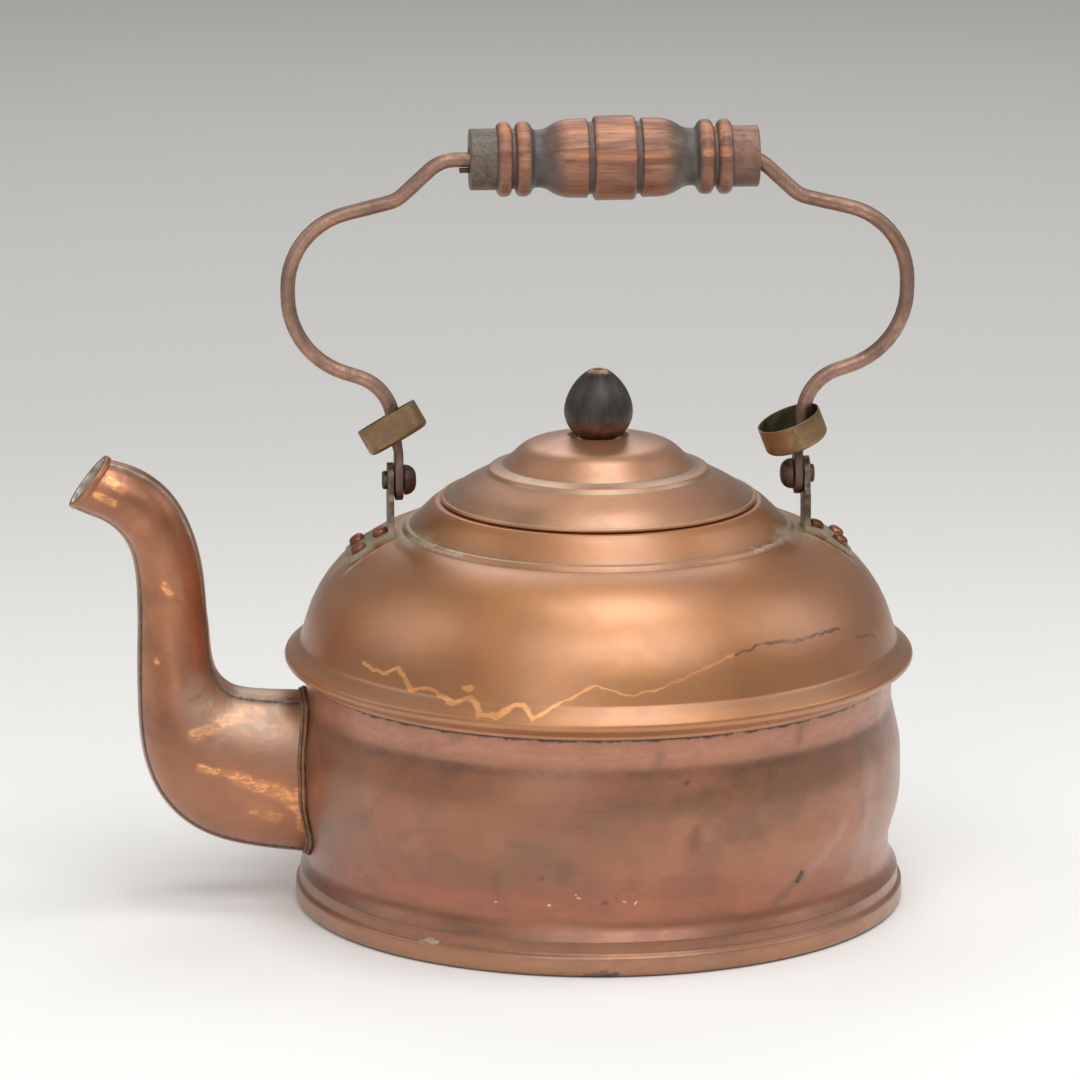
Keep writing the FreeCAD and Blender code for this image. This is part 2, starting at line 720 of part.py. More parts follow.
# Bail brackets: a lobed plate pressed to the dome, with a standing ear
foot_outline = doc.addObject("Sketcher::SketchObject", "BracketFootOutline")
bracket_waist = dome_ring_radius + n.bracket_waist_reach
foot_half = [
    (ear_face, n.ear_foot_half, 0),
    (bracket_waist, n.bracket_waist_half, n.bracket_round),
    (bracket_waist + n.bracket_round, n.bracket_lobe_half, n.bracket_round),
    (dome_ring_radius + n.bracket_lobe_reach, n.bracket_lobe_half - n.bracket_lobe_taper, n.bracket_round),
]
draw_rounded(foot_outline, foot_half + [(dome_ring_radius + n.bracket_notch_reach, ZERO, 0)]
             + [(x, -y, radius) for x, y, radius in reversed(foot_half)], closed=True)
bind_place(foot_outline, ZERO, ZERO, bead_top)
foot_prism = doc.addObject("Part::Extrusion", "BracketFootPrism")
foot_prism.Base = foot_outline
foot_prism.Dir = (0, 0, 1)
foot_prism.Solid = True
bind(foot_prism, LengthFwd=dome_crown)
dome_outside = dome_torus("DomeOutside", ZERO)
plate_outside = dome_torus("PlateOutside", n.bracket_plate)
foot_raised = joined("Common", "BracketFootRaised", foot_prism, plate_outside)
foot_plate = joined("Cut", "BracketFoot", foot_raised, dome_outside)

ear_body = doc.addObject("PartDesign::Body", "BracketEar")
ear_sketch = body_sketch(ear_body, "BracketEarOutline", "YZ_Plane", ear_face)
ear_shoulder = dome_crown + n.ear_shoulder
ear_side = [
    (n.ear_foot_half, dome_centre, 0),
    (n.ear_foot_half, ear_shoulder, n.ear_shoulder_round),
    (n.ear_half, ear_shoulder + n.ear_shoulder_rise, n.ear_shoulder_round),
    (n.ear_half, hinge_level + n.ear_half, n.ear_half - n.ear_top_flat),
]
draw_rounded(ear_sketch, ear_side + [(-y, z, radius) for y, z, radius in reversed(ear_side)], closed=True)
ear_pad = ear_body.newObject("PartDesign::Pad", "BracketEarPad")
ear_pad.Profile = ear_sketch
bind(ear_pad, Length=n.ear_thickness)
ear_trimmed = joined("Cut", "BracketEarTrimmed", ear_body, dome_outside)
bracket_solid = joined("Fuse", "BracketSolid", foot_plate, ear_trimmed)


# Rivets: three through each bracket foot, one hinge pivot through each ear
def on_dome(thing, rise_angle, spread_angle):
    """Stand a piece on the dome's outside, its own Z along the dome's normal."""
    out = dome_ring_radius + n.dome_round * cosine(rise_angle)
    up = dome_centre + n.dome_round * sine(rise_angle)
    bind_place(thing, out * cosine(spread_angle), out * sine(spread_angle), up,
               yaw=spread_angle, pitch=RIGHT_ANGLE - rise_angle)


rivets = []
rivet_holes = []
tail_top = -(n.sheet + n.rivet_tail_gap)
tail_bottom = tail_top - n.rivet_tail_height
rivet_places = {
    "Front": (n.rivet_outer_angle, -n.rivet_spread_angle),
    "Back": (n.rivet_outer_angle, n.rivet_spread_angle),
    "Inner": (n.rivet_inner_angle, ZERO),
}
for place, angles in rivet_places.items():
    rivet = turned(f"Rivet{place}", [
        (ZERO, tail_bottom, 0),
        (n.rivet_tail_radius, tail_bottom, n.rivet_tail_height * HALF_SHARE),
        (n.rivet_tail_radius, tail_top, 0),
        (n.rivet_shank_radius, tail_top, 0),
        (n.rivet_shank_radius, n.bracket_plate, 0),
        (n.rivet_head_radius, n.bracket_plate, 0),
        (n.rivet_head_radius, n.bracket_plate + n.rivet_head_height, n.rivet_head_round),
        (ZERO, n.bracket_plate + n.rivet_head_height, 0),
    ])
    on_dome(rivet, *angles)
    rivets.append(rivet)
    hole = turned(f"RivetHole{place}", [
        (ZERO, tail_bottom, 0),
        (n.rivet_shank_radius + n.solder_gap, tail_bottom, 0),
        (n.rivet_shank_radius + n.solder_gap, n.bracket_plate + n.rivet_head_height, 0),
        (ZERO, n.bracket_plate + n.rivet_head_height, 0),
    ])
    on_dome(hole, *angles)
    rivet_holes.append(hole)
holes_right = grouped("RivetHolesRight", rivet_holes)
holes_left = mirrored("RivetHolesLeft", holes_right)
rivets_right = node(grouped("RivetsRight", rivets), "bracket_rivets_right")
node(mirrored("RivetsLeft", rivets_right), "bracket_rivets_left")
dome_drilled = joined("Cut", "DomeDrilledRight", dome_shell, holes_right)
node(joined("Cut", "DomeDrilled", dome_drilled, holes_left), "shoulder_dome")

hinge_hole = doc.addObject("Part::Cylinder", "HingeHole")
overrun_both = n.cut_overrun + n.cut_overrun
bind(hinge_hole, Radius=n.hinge_shank_radius + n.solder_gap, Height=n.ear_thickness + overrun_both)
bind_place(hinge_hole, ear_face - n.cut_overrun, ZERO, hinge_level, pitch=RIGHT_ANGLE)
bracket_drilled = joined("Cut", "BracketDrilled", bracket_solid, holes_right)
bracket_right = node(joined("Cut", "BracketRight", bracket_drilled, hinge_hole), "bail_bracket_right")
node(mirrored("BracketLeft", bracket_right), "bail_bracket_left")

ear_outer = ear_face + n.ear_thickness
hinge_right = turned("HingeRivet", [
    (ZERO, -n.hinge_head_height, 0),
    (n.hinge_head_radius, -n.hinge_head_height, n.hinge_head_round),
    (n.hinge_head_radius, ZERO, 0),
    (n.hinge_shank_radius, ZERO, 0),
    (n.hinge_shank_radius, ear_outer - head_face, 0),
    (n.hinge_tail_radius, ear_outer - head_face, 0),
    (n.hinge_tail_radius, ear_outer - head_face + n.hinge_tail_height, n.hinge_tail_round),
    (ZERO, ear_outer - head_face + n.hinge_tail_height, 0),
])
bind_place(hinge_right, head_face, ZERO, hinge_level, pitch=RIGHT_ANGLE)
node(hinge_right, "hinge_rivet_right")
node(mirrored("HingeRivetLeft", hinge_right), "hinge_rivet_left")

# Bail rod: one half bent from the middle of the grip to its flattened eye, then mirrored
def bent_rod(name, corners, radius):
    """Round rod in the XZ plane: a cylinder for each straight run, a torus sector for each bend."""
    corners = limited(corners, closed=False)
    runs = []
    for index, ((x, z, _), (next_x, next_z, _)) in enumerate(zip(corners, corners[1:])):
        length = root((next_x - x) * (next_x - x) + (next_z - z) * (next_z - z))
        runs.append(SimpleNamespace(
            length=length,
            x=derived(f"{name}_run_{index}_x_share", (next_x - x) / length),
            z=derived(f"{name}_run_{index}_z_share", (next_z - z) / length),
        ))
    trims = [ZERO]
    pieces = []
    for index, (run, after) in enumerate(zip(runs, runs[1:]), start=1):
        x, z, bend = corners[index]
        along = run.x * after.x + run.z * after.z
        across = run.x * after.z - run.z * after.x
        trim = derived(f"{name}_bend_{index}_trim", bend * root((ONE - along) / (ONE + along)))
        trims.append(trim)
        sector = doc.addObject("Part::Torus", f"{name}_bend_{index}")
        turns_left = across.value > 0
        side = ONE if turns_left else -ONE
        bind(sector, Radius1=bend, Radius2=radius, Angle3=heading(across * side, along))
        first = heading(-run.x, run.z) if turns_left else heading(after.x, -after.z)
        centre_x = x - run.x * trim - run.z * bend * side
        centre_z = z - run.z * trim + run.x * bend * side
        bind_place(sector, centre_x, ZERO, centre_z, pitch=-first, roll=RIGHT_ANGLE)
        pieces.append(sector)
    trims.append(ZERO)
    for index, run in enumerate(runs):
        x, z, _ = corners[index]
        straight = doc.addObject("Part::Cylinder", f"{name}_run_{index}")
        bind(straight, Radius=radius, Height=run.length - trims[index] - trims[index + 1])
        bind_place(straight, x + run.x * trims[index], ZERO, z + run.z * trims[index],
                   pitch=heading(run.x, run.z))
        pieces.append(straight)
    return pieces, runs[-1]


leg_out = head_face + n.bail_leg_out
leg_bottom = hinge_level + n.bail_leg_bottom
rod_pieces, leg_run = bent_rod("bail", [
    (ZERO, grip_level, ZERO),
    (n.bail_top_half, grip_level, n.bail_top_round),
    (n.bail_shoulder_out, grip_level - n.bail_shoulder_height, n.bail_shoulder_round),
    (n.bail_loop_out, grip_level - n.bail_loop_top, n.bail_loop_top_round),
    (n.bail_loop_out, hinge_level + n.bail_loop_bottom, n.bail_loop_bottom_round),
    (head_face + n.bail_knee_out, hinge_level + n.bail_knee_height, n.bail_knee_round),
    (leg_out, leg_bottom, ZERO),
], n.rod_radius)

flat_start = doc.addObject("Part::Ellipse", "FlatStart")
bind(flat_start, MajorRadius=n.rod_radius, MinorRadius=n.rod_radius)
bind_place(flat_start, leg_out, ZERO, leg_bottom, yaw=RIGHT_ANGLE,
           roll=heading(-leg_run.x, -leg_run.z))
flat_end = doc.addObject("Part::Ellipse", "FlatEnd")
bind(flat_end, MajorRadius=n.eye_neck_half, MinorRadius=n.eye_neck_thickness * HALF_SHARE)
bind_place(flat_end, eye_inner + n.eye_thickness * HALF_SHARE, ZERO, hinge_level + n.eye_neck_bottom,
           yaw=RIGHT_ANGLE)
flattening = doc.addObject("Part::Loft", "Flattening")
flattening.Sections = [flat_start, flat_end]
flattening.Solid = True

eye_body = doc.addObject("PartDesign::Body", "Eye")
eye_sketch = body_sketch(eye_body, "EyeOutline", "YZ_Plane", eye_inner)
eye_side = [
    (n.eye_neck_half, hinge_level + n.eye_top, n.eye_corner),
    (n.eye_half, hinge_level + n.eye_drop * HALF_SHARE, n.eye_round),
    (n.eye_half, hinge_level - n.eye_drop, n.eye_round),
]
draw_rounded(eye_sketch, eye_side + [(-y, z, radius) for y, z, radius in reversed(eye_side)], closed=True)
eye_pad = eye_body.newObject("PartDesign::Pad", "EyePad")
eye_pad.Profile = eye_sketch
bind(eye_pad, Length=n.eye_thickness)
eye_bore = doc.addObject("Part::Cylinder", "EyeBore")
bind(eye_bore, Radius=n.hinge_shank_radius + n.hinge_fit, Height=n.eye_thickness + overrun_both)
bind_place(eye_bore, eye_inner - n.cut_overrun, ZERO, hinge_level, pitch=RIGHT_ANGLE)
bail_solid = doc.addObject("Part::MultiFuse", "BailSolid")
bail_solid.Shapes = rod_pieces + [flattening, eye_body]
bail_right = joined("Cut", "BailRight", bail_solid, eye_bore)
node(joined("Fuse", "BailRod", bail_right, mirrored("BailLeft", bail_right)), "bail_rod")

# Grip: turned beads, coves and swells, the same from both ends, bored through
grip_marks = SimpleNamespace(bead=n.grip_tenon_length)
grip_marks.groove = grip_marks.bead + n.grip_bead_length
grip_marks.second_bead = grip_marks.groove + n.grip_groove_length
grip_marks.cove = grip_marks.second_bead + n.grip_bead_length
grip_marks.cove_end = grip_marks.cove + n.grip_cove_length
grip_marks.swell = grip_marks.cove_end + n.grip_swell_rise
grip_marks.ring = grip_marks.swell + n.grip_swell_length
grip_marks.barrel = grip_marks.ring + n.grip_ring_length
grip_end_outline = [
    (ZERO, n.grip_bore_radius, 0),
    (ZERO, n.grip_tenon_radius, n.grip_edge_round),
    (grip_marks.bead, n.grip_tenon_radius, 0),
    (grip_marks.bead, n.grip_bead_radius, n.grip_bead_round),
    (grip_marks.groove, n.grip_bead_radius, n.grip_bead_round),
    (grip_marks.groove, n.grip_groove_radius, 0),
    (grip_marks.second_bead, n.grip_groove_radius, 0),
    (grip_marks.second_bead, n.grip_bead_radius, n.grip_bead_round),
    (grip_marks.cove, n.grip_bead_radius, n.grip_bead_round),
    (grip_marks.cove, n.grip_cove_radius, n.grip_edge_round),
    (grip_marks.cove_end, n.grip_cove_radius, n.grip_cove_round),
    (grip_marks.swell, n.grip_swell_radius, n.grip_swell_round),
    (grip_marks.ring, n.grip_swell_radius, n.grip_edge_round),
    (grip_marks.ring, n.grip_ring_radius, 0),
    (grip_marks.barrel, n.grip_ring_radius, 0),
    (grip_marks.barrel, n.grip_barrel_radius, n.grip_edge_round),
]
grip_far_outline = [(n.grip_length - x, y, radius) for x, y, radius in reversed(grip_end_outline)]
grip = turned("Grip", grip_end_outline + grip_far_outline, axis="H_Axis")
grip_start = n.grip_offset - n.grip_length * HALF_SHARE
bind_place(grip, grip_start, ZERO, grip_level)
node(grip, "grip")
wedge_half = n.wedge_width * HALF_SHARE
wedge_reach_in = n.grip_bore_radius - n.solder_gap
wedge_drop = root(wedge_reach_in * wedge_reach_in - wedge_half * wedge_half)
node(block("GripWedge", grip_start - n.wedge_reach, -wedge_half, grip_level - wedge_drop,
           n.wedge_length, n.wedge_width, n.wedge_thickness), "grip_wedge")


def cup(name, label, out, height, lean, nod):
    """One brass end cup: open end up, a hole in its bottom for the rod, leaning on the arm."""
    inside = n.cup_radius - n.cup_wall
    body = turned(name, [
        (n.cup_hole_radius, ZERO, 0),
        (n.cup_radius, ZERO, n.cup_round),
        (n.cup_radius, n.cup_height, 0),
        (inside, n.cup_height, 0),
        (inside, n.cup_wall, n.cup_round - n.cup_wall),
        (n.cup_hole_radius, n.cup_wall, 0),
    ])
    bind_place(body, out, ZERO, height, pitch=-lean, roll=-nod)
    node(body, label)


cup("CupLeft", "grip_cap_left", -(head_face + n.cup_left_out), hinge_level + n.cup_left_height,
    n.cup_left_lean_angle, n.cup_left_nod_angle)
cup("CupRight", "grip_cap_right", head_face + n.cup_right_out, hinge_level + n.cup_right_height,
    n.cup_right_lean_angle, -n.cup_right_nod_angle)

# Lid
rim_height = derived("lid_rim_level", mouth_level + n.lid_seat_gap + n.lid_rim_round)
tier_height = rim_height + (n.lid_rim_radius - n.lid_tier_radius) * n.lid_tier_share
lid_sheet_shell = spun_shell("LidSheet", [
    (n.lid_rim_radius, rim_height, 0),
    (n.lid_tier_radius, tier_height, n.lid_tier_round),
    (n.lid_ring_foot_radius, mouth_level + n.lid_ring_foot_height, n.lid_crease),
    (n.lid_ring_radius, mouth_level + n.lid_ring_height, n.lid_ring_round),
    (n.lid_crown_foot_radius, mouth_level + n.lid_crown_foot_height, n.lid_crease),
    (n.lid_crown_cove_radius, mouth_level + n.lid_crown_cove_height, n.lid_crown_cove_round),
    (n.lid_crown_radius, mouth_level + n.lid_crown_height, n.lid_crown_round),
    (n.lid_dish_radius, mouth_level + n.lid_dish_height, n.lid_dish_round),
    (n.lid_dish_floor_radius, dish_floor, n.lid_crease),
    (n.screw_radius + n.screw_fit, dish_floor, 0),
], n.lid_sheet)
lid_rim = doc.addObject("Part::Torus", "LidRim")
bind(lid_rim, Radius1=n.lid_rim_radius, Radius2=n.lid_rim_round)
bind_place(lid_rim, ZERO, ZERO, rim_height)
node(joined("Fuse", "LidShell", lid_sheet_shell, lid_rim), "lid_shell")

flange_radius = n.mouth_radius - n.flange_fit
lid_drop = n.lid_sheet * root(n.lid_tier_share * n.lid_tier_share + ONE)
flange_rise = (n.lid_rim_radius - flange_radius) * n.lid_tier_share
flange_corner = rim_height + flange_rise - lid_drop - n.flange_seat_gap
node(spun_shell("LidFlange", [
    (flange_radius, mouth_level - n.flange_bottom, 0),
    (flange_radius, flange_corner, n.flange_round),
    (flange_radius - n.flange_turn_in, flange_corner + n.flange_turn_in * n.lid_tier_share, 0),
], n.flange_sheet), "lid_flange")

screw_hole = n.screw_radius + n.screw_fit
bore_top = dish_floor + n.knob_bore_depth
node(turned("LidKnob", [
    (screw_hole, dish_floor, 0),
    (n.knob_foot_radius, dish_floor, n.knob_foot_round),
    (n.knob_radius, dish_floor + n.knob_low_corner, n.knob_low_round),
    (n.knob_radius, dish_floor + n.knob_high_corner, n.knob_high_round),
    (n.knob_tip_radius, dish_floor + n.knob_top, n.knob_tip_round),
    (ZERO, dish_floor + n.knob_top, 0),
    (ZERO, bore_top, 0),
    (screw_hole, bore_top, 0),
]), "lid_knob")
washer_top = dish_floor - n.lid_sheet
washer_bottom = washer_top - n.washer_thickness
node(turned("KnobWasher", [
    (screw_hole, washer_bottom, 0),
    (n.washer_radius, washer_bottom, 0),
    (n.washer_radius, washer_top, 0),
    (screw_hole, washer_top, 0),
]), "knob_washer")
head_bottom = washer_bottom - n.screw_head_height
node(turned("KnobScrew", [
    (ZERO, head_bottom, 0),
    (n.screw_head_radius, head_bottom, n.screw_head_round),
    (n.screw_head_radius, washer_bottom, 0),
    (n.screw_radius, washer_bottom, 0),
    (n.screw_radius, dish_floor + n.screw_length, 0),
    (ZERO, dish_floor + n.screw_length, 0),
]), "knob_screw")

doc.recompute()
for thing in doc.Objects:
    if "Invalid" in thing.State or "Error" in thing.State:
        raise RuntimeError(f"{thing.Name} failed: {thing.State}")
for piece in NODES:
    if piece.Shape.isNull() or not piece.Shape.isValid() or not piece.Shape.Solids:
        raise RuntimeError(f"{piece.Label} has no sound solid")
os.makedirs("parts", exist_ok=True)
for piece in NODES:
    box = piece.Shape.BoundBox
    reach = f"x {box.XMin:.1f}..{box.XMax:.1f} y {box.YMin:.1f}..{box.YMax:.1f} z {box.ZMin:.1f}..{box.ZMax:.1f}"
    print(f"{piece.Label}: {len(piece.Shape.Solids)} solids, {piece.Shape.Volume:.0f} mm3, {reach}")
    piece.Shape.exportStep(f"parts/{piece.Label}.step")
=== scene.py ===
"""Looks of an aged copper tea kettle with a swan-neck spout, a lift-off lid and a wire bail.

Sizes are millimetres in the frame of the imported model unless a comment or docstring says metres.
Meshes are made in metres.
"""

import logging
import math
from abc import ABC, abstractmethod
from contextlib import contextmanager
from dataclasses import dataclass
from enum import Enum
from typing import Callable, ClassVar, Iterable, Iterator, Sequence

import bmesh
import bpy
import numpy as np
from bpy.types import ID, Material, Mesh, Node, NodeTree, Object
from mathutils import Matrix, Vector


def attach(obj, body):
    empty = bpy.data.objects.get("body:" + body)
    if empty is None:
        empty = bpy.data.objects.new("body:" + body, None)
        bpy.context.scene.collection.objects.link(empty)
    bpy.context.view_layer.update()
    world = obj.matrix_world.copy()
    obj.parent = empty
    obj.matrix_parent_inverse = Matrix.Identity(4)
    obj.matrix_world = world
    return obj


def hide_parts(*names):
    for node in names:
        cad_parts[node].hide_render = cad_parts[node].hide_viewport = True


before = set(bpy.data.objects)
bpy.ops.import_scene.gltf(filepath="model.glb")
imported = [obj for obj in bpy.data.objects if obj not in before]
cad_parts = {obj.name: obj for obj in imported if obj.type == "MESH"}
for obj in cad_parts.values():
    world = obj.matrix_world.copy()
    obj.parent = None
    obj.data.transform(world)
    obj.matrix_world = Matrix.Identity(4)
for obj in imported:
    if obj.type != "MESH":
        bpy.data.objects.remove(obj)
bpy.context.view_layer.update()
LOG = logging.getLogger("kettle")
MM = 0.001  # metres
SEGMENTS = 300  # steps round a spun piece
BEAD_SIDES = 14
ARC_STEP = math.radians(7.0)  # longest step of a rounded corner
SHARP_ANGLE = math.radians(38.0)  # past it, an edge of a new piece stays sharp
EASED_ANGLE = math.radians(35.0)  # past it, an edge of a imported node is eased
SOFT_ANGLE = math.radians(50.0)  # past it, an edge of an eased piece stays sharp
MERGE = 1e-6  # metres; closer points are one
ON_AXIS = 1e-6  # a smaller radius lies on the axis
WRAP_RADIUS = 0.11  # metres; makes an angle a distance round the kettle
SIDES = ((-1, "left"), (1, "right"))
FLOAT, VECTOR = "NodeSocketFloat", "NodeSocketVector"
GEOMETRY, MATERIAL = "NodeSocketGeometry", "NodeSocketMaterial"

Corner = tuple[float, float, float]
Colour = tuple[float, float, float, float]
Wobble = Callable[[np.ndarray, np.ndarray], np.ndarray]
Socket = bpy.types.NodeSocket
Sockets = bpy.types.bpy_prop_collection
Inputs = dict[str | int, object]


class Body(Enum):
    """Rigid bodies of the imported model."""

    KETTLE = "kettle"
    BAIL = "bail"
    GRIP = "grip"
    CUP_LEFT = "cup_left"
    CUP_RIGHT = "cup_right"
    LID = "lid"


class Axis(Enum):
    """Axis that a turned profile runs round."""

    UP = "z"
    ALONG = "x"


def shade(red: int, green: int, blue: int) -> Colour:
    """Turn a display colour into the linear colour that shaders use.

    Args:
        red: Red, 0 to 255.
        green: Green, 0 to 255.
        blue: Blue, 0 to 255.

    Returns:
        Linear red, green, blue and a full alpha.
    """
    linear = [((c / 255 + 0.055) / 1.055) ** 2.4 if c > 10 else c / 255 / 12.92 for c in (red, green, blue)]
    return (linear[0], linear[1], linear[2], 1.0)


# ---- shapes ----


def rounded_points(corners: Sequence[Corner], closed: bool = False, run: float = 3.0) -> np.ndarray:
    """Points of a line through corners, each rounded by an arc of its own radius.

    Args:
        corners: Two places and a rounding radius for each corner.
        closed: Whether the last corner joins the first.
        run: Longest straight step.

    Returns:
        Array of points, two places each.
    """
    places = np.array([corner[:2] for corner in corners], float)
    count = len(places)
    line: list[np.ndarray] = []
    for index, (_, _, radius) in enumerate(corners):
        here = places[index]
        if radius == 0 or (not closed and index in (0, count - 1)):
            line.append(here)
            continue
        before = places[index - 1] - here
        after = places[(index + 1) % count] - here
        before, after = before / np.linalg.norm(before), after / np.linalg.norm(after)
        half = math.acos(float(np.clip(before @ after, -1, 1))) / 2
        middle = (before + after) / np.linalg.norm(before + after)
        centre = here + middle * radius / math.sin(half)
        start, end = here + before * radius / math.tan(half), here + after * radius / math.tan(half)
        first = math.atan2(*(start - centre)[::-1])
        sweep = (math.atan2(*(end - centre)[::-1]) - first + math.pi) % (2 * math.pi) - math.pi
        steps = max(3, math.ceil(abs(sweep) / ARC_STEP))
        angles = [first + sweep * k / steps for k in range(steps + 1)]
        line += [centre + radius * np.array([math.cos(angle), math.sin(angle)]) for angle in angles]
    if closed:
        line.append(line[0])
    dense = [line[0]]
    for start, end in zip(line, line[1:]):
        steps = max(1, math.ceil(float(np.linalg.norm(end - start)) / run))
        dense += [start + (end - start) * k / steps for k in range(1, steps + 1)]
    return np.array(dense[:-1] if closed else dense)


def inward(line: np.ndarray, depth: float) -> np.ndarray:
    """Shift an outside line to its inner side by a sheet's thickness."""
    along = np.gradient(line, axis=0)
    along /= np.linalg.norm(along, axis=1)[:, None] + 1e-12
    return line + np.c_[-along[:, 1], along[:, 0]] * depth


@dataclass
class Shape:
    """Vertices in millimetres, faces, which vertices lie on an inner surface, and which on a seam."""

    points: np.ndarray
    faces: list[tuple[int, ...]]
    inside: np.ndarray
    seam: np.ndarray | None = None

    def seams(self) -> np.ndarray:
        """Share of seam at each vertex."""
        return np.zeros(len(self.points)) if self.seam is None else self.seam

    def moved(self, place: Matrix) -> "Shape":
        """The same shape, turned and shifted by a matrix in millimetres."""
        turn = np.array(place)
        return Shape(self.points @ turn[:3, :3].T + turn[:3, 3], self.faces, self.inside, self.seam)

    @staticmethod
    def joined(shapes: Iterable["Shape"]) -> "Shape":
        """Several shapes as one, side by side."""
        points, faces, inside, seam, start = [], [], [], [], 0
        for shape in shapes:
            points.append(shape.points)
            inside.append(shape.inside)
            seam.append(shape.seams())
            faces += [tuple(v + start for v in face) for face in shape.faces]
            start += len(shape.points)
        return Shape(np.vstack(points), faces, np.concatenate(inside), np.concatenate(seam))


def grid_faces(rows: int, columns: int, wrap_rows: bool, wrap_columns: bool) -> list[tuple[int, ...]]:
    """Quads of a grid of points, joined round either way."""
    faces = []
    for i in range(rows if wrap_rows else rows - 1):
        for j in range(columns if wrap_columns else columns - 1):
            k, m = (i + 1) % rows, (j + 1) % columns
            faces.append((i * columns + j, i * columns + m, k * columns + m, k * columns + j))
    return faces


def turned(line: np.ndarray, closed: bool, axis: Axis = Axis.UP, inner: np.ndarray | None = None,
           segments: int = SEGMENTS, wobble: Wobble | None = None) -> Shape:
    """Turn a line of radius and height round an axis.

    Args:
        line: Radius and height of each point, or place along and radius for the X axis.
        closed: Whether the line is a ring.
        axis: Axis of turning.
        inner: Mask of the points on an inner surface.
        segments: Steps round.
        wobble: Change of radius by angle and height.

    Returns:
        The turned shape.
    """
    angle = np.linspace(0, 2 * math.pi, segments, endpoint=False)
    radius, height = (line[:, 0], line[:, 1]) if axis is Axis.UP else (line[:, 1], line[:, 0])
    around, up = np.meshgrid(angle, height)
    reach = np.repeat(radius[:, None], segments, axis=1)
    if wobble is not None:
        reach = np.where(reach > ON_AXIS, reach + wobble(around, up), reach)
    first, second = reach * np.cos(around), reach * np.sin(around)
    stack = (first, second, up) if axis is Axis.UP else (up, first, second)
    points = np.stack(stack, axis=-1).reshape(-1, 3)
    mask = np.zeros(len(line)) if inner is None else inner
    return Shape(points, grid_faces(len(line), segments, closed, True), np.repeat(mask, segments))


def spun(corners: Sequence[Corner], sheet: float, wobble: Wobble | None = None) -> Shape:
    """Sheet metal spun to an outside line, with its thickness on the inner side."""
    outer = rounded_points(corners)
    inner = inward(outer, sheet)[::-1]
    inner[:, 0] = np.maximum(inner[:, 0], 0.0)
    mask = np.r_[np.zeros(len(outer)), np.ones(len(inner))]
    return turned(np.vstack([outer, inner]), True, inner=mask, wobble=wobble)


def slab(outer: np.ndarray, inner: np.ndarray, seam: np.ndarray) -> Shape:
    """A closed thick sheet between two grids of points of the same size, with its seam mask."""
    rows, columns, _ = outer.shape
    size = rows * columns
    faces = grid_faces(rows, columns, False, False)
    faces += [tuple(v + size for v in face[::-1]) for face in grid_faces(rows, columns, False, False)]
    rim = [i * columns for i in range(rows)] + [(rows - 1) * columns + j for j in range(1, columns)]
    rim += [i * columns + columns - 1 for i in range(rows - 2, -1, -1)] + list(range(columns - 2, 0, -1))
    faces += [(a, b, b + size, a + size) for a, b in zip(rim, rim[1:] + rim[:1])]
    points = np.vstack([outer.reshape(-1, 3), inner.reshape(-1, 3)])
    return Shape(points, faces, np.r_[np.zeros(size), np.ones(size)], np.r_[seam.ravel(), np.zeros(size)])


def spline(knots: np.ndarray, values: np.ndarray, places: np.ndarray) -> np.ndarray:
    """Natural cubic spline through values at knots, read at some places."""
    count, gap = len(knots), np.diff(knots)
    matrix, right = np.eye(count), np.zeros(count)
    for i in range(1, count - 1):
        matrix[i, i - 1:i + 2] = gap[i - 1], 2 * (gap[i - 1] + gap[i]), gap[i]
        right[i] = 6 * ((values[i + 1] - values[i]) / gap[i] - (values[i] - values[i - 1]) / gap[i - 1])
    bend = np.linalg.solve(matrix, right)
    k = np.clip(np.searchsorted(knots, places) - 1, 0, count - 2)
    a, b, h = knots[k + 1] - places, places - knots[k], gap[k]
    return ((bend[k] * a**3 + bend[k + 1] * b**3) / (6 * h)
            + (values[k] / h - bend[k] * h / 6) * a + (values[k + 1] / h - bend[k + 1] * h / 6) * b)


def dents(strength: float, seed: int) -> Wobble:
    """Soft unevenness of hand-spun sheet, the same each run.

    Args:
        strength: Usual height of a wave.
        seed: Which set of waves.

    Returns:
        Function of angle and height that gives a change of radius.
    """
    draw = np.random.default_rng(seed)
    waves = [(int(draw.integers(2, 9)), draw.uniform(0.01, 0.07), draw.uniform(0, 6.3),
              draw.uniform(0.3, 1.0)) for _ in range(9)]

    def change(around: np.ndarray, up: np.ndarray) -> np.ndarray:
        """Sum of the waves."""
        return strength * sum(a * np.sin(n * around + f * up + p) for n, f, p, a in waves) / 3

    return change


# ---- nodes ----


